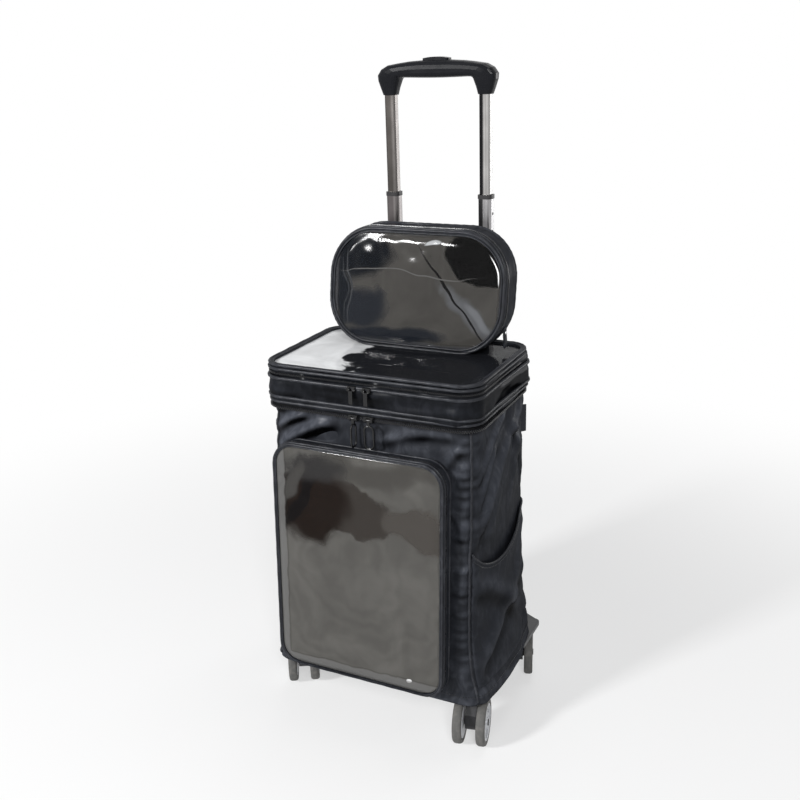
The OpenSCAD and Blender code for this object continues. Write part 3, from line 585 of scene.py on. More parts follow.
def clear_panel(name: str, width: float, depth: float, radius: float, middle: tuple[float, float],
                height: float, place: Place, swell: float, size: Sequence[float], seed: int, crown: float,
                margin: float) -> Piece:
    """A thin clear sheet in a rectangle with round corners, bent near its edge and gently waved.

    Args:
        name: Name of the piece.
        width: Size along the first axis.
        depth: Size along the second axis.
        radius: Corner radius.
        middle: Where its middle lies.
        height: Height of the sheet.
        place: Moves flat points to where they belong.
        swell: Height of the waves.
        size: Length of the waves along X, Y and Z.
        seed: Number of the random field.
        crown: How far the sheet stands out inside its bent margin.
        margin: Width of the bent margin.

    Returns:
        The object.
    """
    step, thickness = 0.0032, 0.5 * MM
    columns, rows = round(width / step), round(depth / step)
    v = np.linspace(-1, 1, rows)
    past = np.maximum(np.abs(v) * depth / 2 - (depth / 2 - radius), 0)
    half = width / 2 - radius + np.sqrt(np.maximum(radius**2 - past**2, 0))
    u = np.linspace(-1, 1, columns)
    x = half[:, None] * u[None, :]
    y = np.repeat((v * depth / 2)[:, None], columns, axis=1)
    corner = np.hypot(np.maximum(np.abs(x) - (width / 2 - radius), 0),
                      np.maximum(np.abs(y) - (depth / 2 - radius), 0))
    straight = np.minimum(width / 2 - np.abs(x), depth / 2 - np.abs(y))
    inward = np.where(corner > 0, radius - corner, straight)
    bend = np.clip(inward / margin, 0, 1)
    bend = bend * bend * (3 - 2 * bend)
    flat = np.dstack([x + middle[0], y + middle[1], np.full_like(x, height)])
    flat[..., 2] += billow(place(flat), size, seed, 3) * swell * bend + crown * bend
    front = place(flat)
    flat[..., 2] -= thickness
    back = place(flat)
    points = np.concatenate([front.reshape(-1, 3), back.reshape(-1, 3)])
    return piece(name, points, sheet_faces(rows, columns))


def sheet_faces(rows: int, columns: int) -> Faces:
    """Faces of a thin sheet, whose front grid of points is followed by its back one.

    Args:
        rows: Number of rows.
        columns: Number of columns.

    Returns:
        The faces of the front, the back and the rim between them.
    """
    count = rows * columns
    front = grid_faces(rows, columns, False, False)
    back = [tuple(count + k for k in reversed(f)) for f in front]
    rim = ([j for j in range(columns)] + [i * columns + columns - 1 for i in range(1, rows)]
           + [(rows - 1) * columns + j for j in range(columns - 2, -1, -1)]
           + [i * columns for i in range(rows - 2, 0, -1)])
    return front + back + [(b, a, count + a, count + b) for a, b in zip(rim, rim[1:] + rim[:1])]


def capped_faces(rows: int, columns: int) -> Faces:
    """Faces of a tube of points with a flat end at its first and its last row.

    Args:
        rows: Number of rows along the tube.
        columns: Number of points round it.

    Returns:
        The faces.
    """
    last = (rows - 1) * columns
    ends = [tuple(range(columns))[::-1], tuple(range(last, last + columns))]
    return grid_faces(rows, columns, False, True) + ends


def filled_panel(name: str, line: Outline, height: float, thickness: float, place: Place) -> Piece:
    """A flat fabric panel that fills an outline.

    Args:
        name: Name of the piece.
        line: The outline.
        height: Height of its upper face.
        thickness: Its thickness.
        place: Moves flat points to where they belong.

    Returns:
        The object.
    """
    count = len(line.points)
    top = place(np.column_stack([line.points, np.full(count, height)]))
    low = place(np.column_stack([line.points, np.full(count, height - thickness)]))
    faces = [tuple(range(count)), tuple(range(2 * count - 1, count - 1, -1))]
    faces += [((j + 1) % count, j, count + j, count + (j + 1) % count) for j in range(count)]
    made = piece(name, np.concatenate([top, low]), faces)
    made.data.set_sharp_from_angle(angle=math.radians(40))
    return made


def tube_along(name: str, path: np.ndarray, radius: float | np.ndarray, sides: int = 10) -> Piece:
    """A round rod along an open path.

    Args:
        name: Name of the piece.
        path: Points of its middle line.
        radius: Its radius, the same all along or one for each point.
        sides: Number of sides of its section.

    Returns:
        The object.
    """
    way = np.gradient(path, axis=0)
    way = way / np.linalg.norm(way, axis=1, keepdims=True)
    flat = np.linalg.svd(path - path.mean(axis=0), full_matrices=False)[2][2]
    across = np.cross(way, flat)
    across = across / np.linalg.norm(across, axis=1, keepdims=True)
    up = np.cross(across, way)
    angles = np.arange(sides) * 2 * math.pi / sides
    reach = np.broadcast_to(radius, len(path))[:, None, None]
    points = path[:, None, :] + reach * (np.cos(angles)[None, :, None] * across[:, None, :]
                                         + np.sin(angles)[None, :, None] * up[:, None, :])
    return piece(name, points, capped_faces(len(path), sides))


# Finishes


class Nodes:
    """Short ways to add and join the nodes of a material or a world."""

    def __init__(self, tree: bpy.types.NodeTree) -> None:
        """Keeps the tree that the nodes go to."""
        self.tree = tree

    def add(self, kind: str, settings: dict[str, object] | None = None, **values: object) -> bpy.types.Node:
        """Adds a node.

        Args:
            kind: The node's type, without the ShaderNode that it starts with.
            settings: Properties of the node.
            values: Input values or links, by input name with _ for a blank.

        Returns:
            The node.
        """
        node = self.tree.nodes.new("ShaderNode" + kind)
        for key, value in (settings or {}).items():
            setattr(node, key, value)
        for key, value in values.items():
            self.put(node.inputs[key.replace("_", " ")], value)
        return node

    def put(self, socket: Socket, value: object) -> None:
        """Links a socket to an output, or sets its value.

        Args:
            socket: The input socket.
            value: An output socket, a number or a vector. A colour may leave its alpha out.
        """
        if isinstance(value, bpy.types.NodeSocket):
            self.tree.links.new(value, socket)
        elif socket.type == "RGBA" and len(value) == 3:
            socket.default_value = (*value, 1.0)
        else:
            socket.default_value = value

    def math(self, operation: str, a: object, b: object = 0.0) -> Socket:
        """A sum, product or the like of two values.

        Args:
            operation: The node's operation.
            a: A value or an output socket.
            b: A value or an output socket.

        Returns:
            The result.
        """
        node = self.add("Math", {"operation": operation})
        self.put(node.inputs[0], a)
        self.put(node.inputs[1], b)
        return node.outputs["Value"]

    def between(self, share: Socket, a: object, b: object) -> Socket:
        """A value that lies a share of the way from one value to another."""
        left = self.math("MULTIPLY", a, self.math("SUBTRACT", 1.0, share))
        return self.math("ADD", left, self.math("MULTIPLY", share, b))

    def seen(self) -> Socket:
        """Tells the rays that are seen from those that light.

        Returns:
            1 for rays from the camera, a mirror or clear vinyl, and 0 for others.
        """
        path = self.add("LightPath").outputs
        shown = self.math("MAXIMUM", path["Is Camera Ray"], path["Is Glossy Ray"])
        return self.math("MAXIMUM", shown, path["Is Transmission Ray"])

    def join(self, share: Socket, first: Socket, second: Socket) -> Socket:
        """A mix of two shaders.

        Args:
            share: Share of the second one.
            first: Output of the first shader.
            second: Output of the second shader.

        Returns:
            The mix.
        """
        node = self.add("MixShader")
        for socket, value in zip(node.inputs, (share, first, second)):
            self.put(socket, value)
        return node.outputs["Shader"]


class Graph(Nodes):
    """A material with one principled shader, and the textures that it needs."""

    def __init__(self, name: str) -> None:
        """Starts a material.

        Args:
            name: Name of the material.
        """
        self.material = bpy.data.materials.new(name)
        self.material.use_nodes = True
        super().__init__(self.material.node_tree)
        self.shader = self.tree.nodes["Principled BSDF"]
        self.coords = self.tree.nodes.new("ShaderNodeTexCoord").outputs["Object"]

    def stretched(self, scale: Size) -> Socket:
        """Object coordinates scaled by a factor along each axis."""
        return self.add("Mapping", Vector=self.coords, Scale=scale).outputs["Vector"]

    def noise(self, scale: float, detail: float, vector: Socket | None = None,
              distortion: float = 0.0) -> Socket:
        """A noise texture's value."""
        return self.add("TexNoise", Vector=vector or self.coords, Scale=scale, Detail=detail,
                        Distortion=distortion).outputs["Fac"]

    def ramp(self, value: Socket, low: float, high: float, to_low: float = 0.0,
             to_high: float = 1.0) -> Socket:
        """Maps a range of values to another, and holds it there.

        Args:
            value: The value.
            low: Start of its range.
            high: End of its range.
            to_low: Result at the start.
            to_high: Result at the end.

        Returns:
            The result.
        """
        node = self.add("MapRange", {"interpolation_type": "SMOOTHSTEP"}, Value=value)
        for name, number in (("From Min", low), ("From Max", high), ("To Min", to_low), ("To Max", to_high)):
            node.inputs[name].default_value = number
        return node.outputs["Result"]

    def mix(self, share: object, a: object, b: object) -> Socket:
        """A colour between two colours.

        Args:
            share: Share of the second colour.
            a: The first colour.
            b: The second colour.

        Returns:
            The colour.
        """
        node = self.add("Mix", {"data_type": "RGBA"})
        for number, value in ((0, share), (6, a), (7, b)):
            self.put(node.inputs[number], value)
        return node.outputs[2]

    def scaled(self, colour: object, factor: Socket) -> Socket:
        """A colour times a factor.

        Args:
            colour: A colour or an output socket.
            factor: The factor.

        Returns:
            The product.
        """
        node = self.add("VectorMath", {"operation": "SCALE"}, Scale=factor)
        self.put(node.inputs[0], colour)
        return node.outputs["Vector"]

    def bump(self, height: Socket, strength: float, distance: float, over: Socket | None = None) -> Socket:
        """A bump from a height, laid over an earlier bump if there is one."""
        values = {"Normal": over} if over is not None else {}
        return self.add("Bump", Height=height, Strength=strength, Distance=distance,
                        **values).outputs["Normal"]

    def set(self, **values: object) -> None:
        """Sets or links inputs of the principled shader, by name with _ for a blank."""
        for key, value in values.items():
            self.put(self.shader.inputs[key.replace("_", " ")], value)


@dataclass(frozen=True)
class WovenNylon:
    """Black woven nylon with a fine weave, soft creases, painted light and shade on marked folds, and a low
    shine.

    Attributes:
        name: Name of the finish.
        colour: Colour between the threads.
        worn: Colour on the raised threads and on small creases.
        thread: Width of two threads.
        crease: Strength of the small creases.
        rough: Roughness of the highlights.
        shine: Weight of the smooth coat that carries the highlights.
        painted_fold_shade: How much the painted light lightens a marked fold's upper side and the painted
            shade darkens its hollow.
    """

    name: str = "woven_nylon"
    colour: Colour = (0.017, 0.0185, 0.0228)
    worn: Colour = (0.042, 0.045, 0.0533)
    thread: float = 0.0008
    crease: float = 0.22
    rough: float = 0.27
    shine: float = 0.09
    painted_fold_shade: float = 0.95

    def make(self) -> bpy.types.Material:
        """Builds the material.

        Returns:
            The material.
        """
        g = Graph(self.name)
        weave = None
        for axis in ("X", "Y", "Z"):
            wave = g.add("TexWave", {"bands_direction": axis, "wave_profile": "SIN"}, Vector=g.coords,
                         Scale=2 * math.pi / (20 * self.thread), Distortion=0.3, Detail=1.0).outputs["Fac"]
            weave = wave if weave is None else g.math("MAXIMUM", weave, wave)
        creases = g.noise(85.0, 5.0, g.stretched((1.0, 1.0, 0.6)), 0.9)
        cloud = g.noise(9.0, 3.0)
        shade = g.math("ADD", g.math("MULTIPLY", weave, 0.3), g.ramp(creases, 0.4, 0.72, 0.0, 0.7))
        colour = g.mix(g.math("MULTIPLY", shade, g.ramp(cloud, 0.3, 0.7, 0.35, 1.0)), self.colour, self.worn)
        # Painted light and shade: the colour is lighter on the sides of marked folds that face up and darker
        # in their hollows.
        fold = g.add("Attribute", {"attribute_name": "fold"}).outputs["Fac"]
        tone = g.math("ADD", g.math("MULTIPLY", fold, self.painted_fold_shade), 1.0)
        g.set(Base_Color=g.scaled(colour, tone), Roughness=0.7, Specular_IOR_Level=0.0,
              Coat_Weight=self.shine, Coat_Roughness=self.rough)
        g.set(Normal=g.bump(creases, self.crease, 0.0024, g.bump(weave, 0.12, 0.0001)))
        return g.material


@dataclass(frozen=True)
class PaintedArea:
    """One painted area of a window, laid over its haze: mostly painted reflections and glints, and a few seams
    seen through the sheet, painted. The dark areas also hide less of what lies behind.

    Attributes:
        middle: Its middle, from -1 to 1 across and up the window.
        reach: Half its width and height on the same scale.
        colour: Its colour.
        cover: How much the sheet hides there.
        soft: Width of its edge as a share of its reach.
        lean: How far it leans sideways for each step up.
        jag: How ragged its edge is.
    """

    middle: tuple[float, float]
    reach: tuple[float, float]
    colour: Colour
    cover: float
    soft: float = 0.12
    lean: float = 0.0
    jag: float = 0.5


@dataclass(frozen=True)
class ClearVinyl:
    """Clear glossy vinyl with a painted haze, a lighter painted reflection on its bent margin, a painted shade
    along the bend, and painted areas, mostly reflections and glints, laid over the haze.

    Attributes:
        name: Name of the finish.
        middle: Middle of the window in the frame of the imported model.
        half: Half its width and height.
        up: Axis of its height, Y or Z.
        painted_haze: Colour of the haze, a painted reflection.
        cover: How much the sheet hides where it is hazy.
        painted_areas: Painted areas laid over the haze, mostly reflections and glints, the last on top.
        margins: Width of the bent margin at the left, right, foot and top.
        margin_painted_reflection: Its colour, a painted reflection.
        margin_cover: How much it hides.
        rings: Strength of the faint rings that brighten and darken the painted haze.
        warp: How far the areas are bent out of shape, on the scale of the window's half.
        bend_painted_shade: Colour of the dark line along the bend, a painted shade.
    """

    name: str
    middle: tuple[float, float, float]
    half: tuple[float, float]
    up: str
    painted_haze: Colour
    cover: float
    painted_areas: tuple[PaintedArea, ...]
    margins: tuple[float, float, float, float]
    margin_painted_reflection: Colour
    margin_cover: float
    rings: float = 0.1
    warp: float = 0.7
    bend_painted_shade: Colour = (0.012, 0.011, 0.01)

    def make(self) -> bpy.types.Material:
        """Builds the material.

        Returns:
            The material.
        """
        g = Graph(self.name)
        away = g.add("VectorMath", {"operation": "SUBTRACT"}, Vector=g.coords)
        g.put(away.inputs[1], self.middle)
        parts = g.add("SeparateXYZ", Vector=away.outputs["Vector"]).outputs
        u = g.math("DIVIDE", parts["X"], self.half[0])
        v = g.math("DIVIDE", parts[self.up], self.half[1])
        ragged = g.math("SUBTRACT", g.noise(34.0, 5.0, None, 0.7), 0.5)
        swirl = g.add("TexWave", {"wave_type": "RINGS", "rings_direction": "SPHERICAL"},
                      Vector=away.outputs["Vector"], Scale=13.0, Distortion=11.0, Detail=2.0,
                      Detail_Scale=1.6).outputs["Fac"]
        smear = g.noise(16.0, 4.0, g.stretched((1.0, 1.0, 0.7)), 1.2)
        tone = g.math("ADD", g.math("MULTIPLY", swirl, self.rings), g.ramp(smear, 0.3, 0.7, -0.12, 0.12))
        tone = g.math("ADD", tone, 1.0 - self.rings / 2)
        # The haze is a painted reflection, brightened and darkened by faint rings and smears.
        colour, cover = g.scaled(self.painted_haze, tone), self.cover
        drift = g.add("TexNoise", Vector=g.coords, Scale=13.0, Detail=2.0).outputs["Color"]
        bent = g.add("SeparateXYZ", Vector=drift).outputs
        u = g.math("ADD", u, g.math("MULTIPLY", g.math("SUBTRACT", bent["X"], 0.5), self.warp))
        v = g.math("ADD", v, g.math("MULTIPLY", g.math("SUBTRACT", bent["Y"], 0.5), self.warp))
        # Painted areas, mostly reflections and glints, laid over the painted haze.
        for shade in self.painted_areas:
            share = self.area(g, shade, u, v, ragged)
            colour = g.mix(share, colour, shade.colour)
            cover = g.between(share, cover, shade.cover)
        edge = None
        sides = (("X", -1.0), ("X", 1.0), (self.up, -1.0), (self.up, 1.0))
        for number, ((axis, way), margin) in enumerate(zip(sides, self.margins)):
            past = g.math("SUBTRACT", g.math("MULTIPLY", parts[axis], way), self.half[number // 2] - margin)
            edge = past if edge is None else g.math("MAXIMUM", edge, past)
        edge = g.math("ADD", edge, g.math("MULTIPLY", ragged, 0.007))
        # A lighter painted reflection on the bent margin, and a painted shade in a dark line along the bend.
        band = g.ramp(edge, -0.001, 0.0018, 0.0, 0.8)
        line = g.math("MULTIPLY", g.ramp(edge, -0.0026, -0.0006), g.ramp(edge, 0.0008, -0.0004))
        colour = g.mix(band, colour, self.margin_painted_reflection)
        colour = g.mix(g.math("MULTIPLY", line, 0.3), colour, self.bend_painted_shade)
        g.set(Base_Color=colour, Roughness=g.ramp(smear, 0.35, 0.75, 0.06, 0.14),
              Alpha=g.between(band, cover, self.margin_cover), Specular_IOR_Level=0.12)
        g.set(Normal=g.bump(smear, 0.2, 0.003))
        return g.material

    def area(self, g: Graph, shade: PaintedArea, u: Socket, v: Socket, ragged: Socket) -> Socket:
        """Share of one painted area at each point of the window.

        Args:
            g: The material's graph.
            shade: The area.
            u: Place across the window.
            v: Place up the window.
            ragged: Noise that breaks the area's edge.

        Returns:
            From 0 outside it to 1 inside it.
        """
        roundness = 2.2
        high = g.math("SUBTRACT", v, shade.middle[1])
        lean = g.math("MULTIPLY", high, shade.lean)
        side = g.math("SUBTRACT", g.math("SUBTRACT", u, shade.middle[0]), lean)
        parts = [g.math("POWER", g.math("ABSOLUTE", g.math("DIVIDE", value, reach)), roundness)
                 for value, reach in zip((side, high), shade.reach)]
        far = g.math("ADD", g.math("ADD", *parts), g.math("MULTIPLY", ragged, shade.jag * 2))
        return g.ramp(far, 1 + shade.soft, 1 - shade.soft)


@dataclass(frozen=True)
class CastPlastic:
    """Moulded plastic with a fine grain.

    Attributes:
        name: Name of the finish.
        colour: Its colour.
        rough: Roughness.
        grain: Strength of the grain.
        scuff: Colour where it is rubbed.
        shine: Specular level.
    """

    name: str
    colour: Colour
    rough: float = 0.45
    grain: float = 0.2
    scuff: Colour = (0.05, 0.05, 0.052)
    shine: float = 0.3

    def make(self) -> bpy.types.Material:
        """Builds the material.

        Returns:
            The material.
        """
        g = Graph(self.name)
        pores = g.add("TexVoronoi", Vector=g.coords, Scale=1400.0).outputs["Distance"]
        wear = g.noise(60.0, 6.0)
        g.set(Base_Color=g.mix(g.ramp(wear, 0.6, 0.85, 0.0, 0.5), self.colour, self.scuff),
              Roughness=g.ramp(wear, 0.3, 0.8, self.rough - 0.05, self.rough + 0.12),
              Specular_IOR_Level=self.shine)
        g.set(Normal=g.bump(pores, self.grain, 0.0003))
        return g.material


@dataclass(frozen=True)
class DrawnMetal:
    """Metal with fine lines along its length, and a painted dark reflection down one side where one is given.

    Attributes:
        name: Name of the finish.
        colour: Its colour.
        rough: Roughness.
        lines: Scale of the lines along the three axes.
        split: Where along X the painted dark reflection on the profile's side ends.
        painted_dark_reflection: Colour of the painted dark reflection, or none for one colour all round.
    """

    name: str
    colour: Colour
    rough: float
    lines: Size = (900.0, 900.0, 6.0)
    split: float = 0.0
    painted_dark_reflection: Colour | None = None

    def make(self) -> bpy.types.Material:
        """Builds the material.

        Returns:
            The material.
        """
        g = Graph(self.name)
        lines = g.noise(1.0, 3.0, g.stretched(self.lines))
        cloud = g.noise(20.0, 4.0)
        groove = tuple(c * 0.72 for c in self.colour)
        colour = g.mix(g.ramp(lines, 0.35, 0.7), groove, self.colour)
        # A painted dark reflection on the side of the profile below the split along X.
        if self.painted_dark_reflection is not None:
            side = g.add("SeparateXYZ", Vector=g.coords).outputs["X"]
            soft = 1.4 * MM
            colour = g.mix(g.ramp(side, self.split - soft, self.split + soft), self.painted_dark_reflection, colour)
        g.set(Base_Color=colour, Metallic=1.0,
              Roughness=g.ramp(cloud, 0.3, 0.75, self.rough, self.rough + 0.12))
        g.set(Normal=g.bump(lines, 0.12, 0.0001))
        return g.material


@dataclass(frozen=True)
class TyreRubber:
    """Grey tyre tread with dust in its pores."""

    name: str = "tyre_rubber"
    colour: Colour = (0.088, 0.087, 0.084)
    dust: Colour = (0.13, 0.125, 0.118)

    def make(self) -> bpy.types.Material:
        """Builds the material.

        Returns:
            The material.
        """
        g = Graph(self.name)
        dirt = g.noise(140.0, 6.0)
        g.set(Base_Color=g.mix(g.ramp(dirt, 0.4, 0.75), self.colour, self.dust), Roughness=0.7,
              Specular_IOR_Level=0.3)
        g.set(Normal=g.bump(dirt, 0.3, 0.0005))
        return g.material


# Middle, reach, colour, cover, softness, lean and jag of each painted area in the windows
# Front pocket: painted dark reflections over its upper part, lighter painted reflections beside them, and
# white painted glints near its lower corners.
POCKET_PAINTED_AREAS = (
    PaintedArea((-0.30, 0.55), (0.76, 0.28), (0.0304, 0.0264, 0.0232), 0.87, 0.22, -0.6, 1.1),
    PaintedArea((-0.56, 0.52), (0.46, 0.35), (0.0084, 0.0048, 0.0032), 0.82, 0.45, 0.15, 0.7),
    PaintedArea((0.64, 0.46), (0.36, 0.17), (0.0528, 0.048, 0.0432), 0.88, 0.3, -0.5, 1.0),
    PaintedArea((-0.70, 0.56), (0.07, 0.30), (0.0032, 0.0024, 0.0024), 0.72, 0.45, 0.5, 0.6),
    PaintedArea((0.25, 0.90), (0.75, 0.10), (0.0496, 0.0472, 0.0432), 0.9, 0.9, -0.2, 0.8),
    PaintedArea((-0.58, 0.84), (0.40, 0.12), (0.024, 0.0232, 0.0232), 0.86, 0.9, 0.6, 1.2),
    PaintedArea((-0.84, 0.66), (0.08, 0.22), (0.044, 0.0424, 0.04), 0.86, 0.6, 0.4, 0.8),
    PaintedArea((-0.86, -0.955), (0.07, 0.018), (0.9, 0.9, 0.9), 0.95, 0.5, 0.0, 0.9),
    PaintedArea((0.62, -0.965), (0.03, 0.014), (0.9, 0.9, 0.9), 0.95, 0.5, 0.0, 0.5),
)
# Pouch: painted dark reflections, two lighter lines at the left that paint the gusset's seam seen through the
# sheet, pale painted streaks and a line, a painted glint at the top and a white painted glint at the right
# edge.
POUCH_PAINTED_AREAS = (
    PaintedArea((-0.64, 0.56), (0.34, 0.40), (0.0036, 0.0048, 0.0072), 0.84, 0.5, 0.05, 0.6),
    PaintedArea((-0.66, -0.36), (0.34, 0.34), (0.0136, 0.0156, 0.02), 0.86, 0.6, 0.0, 0.9),
    PaintedArea((-0.35, -0.86), (0.62, 0.15), (0.0112, 0.0132, 0.0176), 0.86, 0.6, 0.0, 0.7),
    PaintedArea((-0.90, 0.05), (0.07, 0.80), (0.0072, 0.0088, 0.012), 0.84, 0.5, 0.0, 0.5),
    PaintedArea((-0.81, 0.0), (0.010, 0.74), (0.036, 0.0384, 0.0424), 0.86, 0.6, 0.03, 0.3),
    PaintedArea((-0.86, -0.1), (0.008, 0.66), (0.028, 0.0304, 0.0336), 0.86, 0.6, 0.03, 0.3),
    PaintedArea((0.72, 0.56), (0.33, 0.42), (0.0032, 0.0032, 0.0032), 0.7, 0.12, -0.35, 0.25),
    PaintedArea((0.62, -0.30), (0.14, 0.46), (0.084, 0.0864, 0.092), 0.88, 0.9, -0.6, 1.5),
    PaintedArea((0.44, -0.02), (0.017, 0.86), (0.0048, 0.0048, 0.0048), 0.8, 0.7, -0.48, 0.5),
    PaintedArea((0.76, -0.42), (0.06, 0.22), (0.12, 0.124, 0.132), 0.9, 0.9, -0.5, 1.4),
    PaintedArea((0.20, 0.86), (0.075, 0.035), (0.336, 0.344, 0.352), 0.93, 0.5, 0.9, 0.9),
    PaintedArea((0.90, 0.46), (0.008, 0.26), (0.9, 0.9, 0.9), 0.95, 0.7, -0.2, 0.5),
    PaintedArea((-0.10, 0.30), (0.72, 0.014), (0.096, 0.0944, 0.092), 0.85, 0.7, 0.0, 0.1),
)
# Lid: a painted dark reflection of the pouch over the right, through which the lid's inside shows, and a pale
# painted reflection along the front edge.
LID_PAINTED_AREAS = (
    PaintedArea((0.9, 0.1), (1.22, 1.5), (0.022, 0.0235, 0.028), 0.42, 0.05, 0.1, 0.45),
    PaintedArea((0.0, -1.0), (1.2, 0.05), (0.8, 0.8, 0.8), 0.95, 0.3, 0.0, 0.3),
)


# Where along X the painted dark reflection on the left side of each tube ends
LEFT_SPLIT = -0.0605
RIGHT_SPLIT = 0.0612


class Finish(Enum):
    """The finishes of the bag's pieces."""

    NYLON = WovenNylon()
    BORDER = WovenNylon("border_nylon", (0.0205, 0.022, 0.026), (0.048, 0.051, 0.059),
                        crease=0.2, rough=0.28, shine=0.16)
    # Darker copy of the nylon for the lid's wall: its darkness is painted shade under the lid's border.
    LID_NYLON = WovenNylon("lid_nylon_painted_shade", (0.0035, 0.004, 0.0052), (0.013, 0.014, 0.0175),
                           rough=0.28, shine=0.13)
    PIPING = WovenNylon("piping_nylon", (0.017, 0.018, 0.0215), (0.047, 0.0495, 0.057),
                        thread=0.0006, crease=0.15, rough=0.26, shine=0.24)
    LINING = WovenNylon("lining", (0.006, 0.006, 0.0065), (0.014, 0.014, 0.0145),
                        thread=0.0011, crease=0.3, rough=0.5, shine=0.02)
    TEETH = CastPlastic("zip_teeth", (0.014, 0.0142, 0.016), 0.26, grain=0.1,
                        scuff=(0.03, 0.03, 0.032), shine=0.5)
    # The windows' haze and margin colours are painted reflections; the lid window's pale haze paints the
    # reflection of the pale room.
    POCKET_WINDOW = ClearVinyl(
        "pocket_vinyl", (-0.007, -0.0945 + BAG_Y, 0.2205), (0.1084, 0.1428), "Z", painted_haze=(0.078, 0.0755, 0.07),
        cover=0.93, painted_areas=POCKET_PAINTED_AREAS, margins=(0.013, 0.0022, 0.014, 0.0015),
        margin_painted_reflection=(0.112, 0.111, 0.109), margin_cover=0.94, rings=0.1, warp=0.4)
    LID_WINDOW = ClearVinyl(
        "lid_vinyl", (0.0, BAG_Y, 0.4545), (0.131, 0.086), "Y", painted_haze=(0.78, 0.79, 0.8), cover=0.95,
        painted_areas=LID_PAINTED_AREAS, margins=(0.001,) * 4, margin_painted_reflection=(0.3, 0.3, 0.3), margin_cover=0.8,
        rings=0.03, warp=0.35)
    POUCH_WINDOW = ClearVinyl(
        "pouch_vinyl", (0.007, 0.035 + BAG_Y, 0.5268), (0.1095, 0.0655), "Z", painted_haze=(0.05, 0.0475, 0.044),
        cover=0.9, painted_areas=POUCH_PAINTED_AREAS, margins=(0.005, 0.002, 0.004, 0.002),
        margin_painted_reflection=(0.045, 0.046, 0.05), margin_cover=0.8, rings=0.05, warp=0.5)
    # The left tubes are darker and the right ones lighter, painted reflections, and each tube has a painted
    # dark reflection on its left side.
    TUBE_LEFT = DrawnMetal("drawn_tube_left", (0.15, 0.139, 0.133), 0.22, split=LEFT_SPLIT,
                           painted_dark_reflection=(0.066, 0.060, 0.056))
    TUBE_RIGHT = DrawnMetal("drawn_tube_right", (0.37, 0.363, 0.355), 0.2, split=RIGHT_SPLIT,
                            painted_dark_reflection=(0.012, 0.012, 0.013))
    STAGE_LEFT = DrawnMetal("drawn_stage_left", (0.185, 0.172, 0.17), 0.26, split=LEFT_SPLIT,
                            painted_dark_reflection=(0.10, 0.09, 0.09))
    STAGE_RIGHT = DrawnMetal("drawn_stage_right", (0.38, 0.374, 0.38), 0.26, split=RIGHT_SPLIT,
                             painted_dark_reflection=(0.03, 0.03, 0.031))
    STEEL = DrawnMetal("bright_steel", (0.62, 0.62, 0.63), 0.25)
    ENAMEL = CastPlastic("black_enamel", (0.006, 0.006, 0.0065), 0.22, grain=0.05, scuff=(0.02, 0.02, 0.02),
                         shine=0.36)
    BLACK = CastPlastic("grip_plastic", (0.0072, 0.0077, 0.0096), 0.26, grain=0.03,
                        scuff=(0.011, 0.0115, 0.0138), shine=0.09)
    COLLAR = CastPlastic("collar_plastic", (0.035, 0.034, 0.035), 0.36, grain=0.05, shine=0.15)
    TRAY = CastPlastic("grey_tray", (0.075, 0.076, 0.078), 0.5, grain=0.3, scuff=(0.12, 0.12, 0.12))
    FORK = CastPlastic("fork_plastic", (0.014, 0.014, 0.016), 0.4)
    TYRE = TyreRubber()
    HUB = CastPlastic("silver_hub", (0.5, 0.51, 0.53), 0.3, grain=0.1, scuff=(0.62, 0.63, 0.65))

    def material(self) -> bpy.types.Material:
        """The finish's material, made at its first use."""
        made = bpy.data.materials.get(self.value.name)
        return made or self.value.make()


def dress(made: Piece, finish: Finish, body: str, slot: str, *nodes: str) -> Piece:
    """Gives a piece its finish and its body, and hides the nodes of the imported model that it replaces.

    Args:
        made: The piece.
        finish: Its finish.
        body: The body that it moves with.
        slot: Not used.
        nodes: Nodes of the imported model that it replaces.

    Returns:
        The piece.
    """
    made.data.materials.clear()
    made.data.materials.append(finish.material())
    if nodes:
        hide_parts(*nodes)
    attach(made, body)
    LOG.info("%s rides on %s", made.name, body)
    return made


# Angles between faces from which an edge is drawn sharp, and from which it is rounded
SHARP_EDGE = math.radians(35)
ROUND_EDGE = math.radians(40)


def finish_node(node: str, finish: Finish, bevel: float = 0.0) -> None:
    """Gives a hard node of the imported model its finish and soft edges.

    Args:
        node: Name of the node.
        finish: Its finish.
        bevel: Width of the round on its edges.
    """
    made = frame["nodes"][node]
    made.data.materials.clear()
    made.data.materials.append(finish.material())
    made.data.shade_smooth()
    made.data.set_sharp_from_angle(angle=SHARP_EDGE)
    if bevel:
        round_edges = made.modifiers.new("round_edges", "BEVEL")
        round_edges.width = bevel
        round_edges.segments = 2
        round_edges.limit_method = "ANGLE"
        round_edges.angle_limit = ROUND_EDGE
        round_edges.use_clamp_overlap = True
        round_edges.harden_normals = True
    LOG.info("%s finished", node)


def sew_piping(cords: Sequence[tuple[str, float, float, float]], line: Outline, place: Place, pucker: float,
               body: str, slot: str = "bag_fabric") -> None:
    """Sews cords of piping along an outline.

    Args:
        cords: Name, inset, height and radius of each cord.
        line: The outline.
        place: Moves flat points to where they belong.
        pucker: Share of the radius by which stitches draw the cords in.
        body: The body that they move with.
        slot: The record's material slot.
    """
    for name, inset, height, radius in cords:
        dress(piping_ring(name, line, inset, height, radius, place, pucker), Finish.PIPING, body, slot)


# Pieces

# Height of each crease on the bag against the height that its entry gives
CREASE_SCALE = 1.25


class Panel(Enum):
    """The four upright panels of the body, by the axis and the way that they face."""

    RIGHT = (0, 1)
    LEFT = (0, -1)
    FRONT = (1, -1)
    BACK = (1, 1)


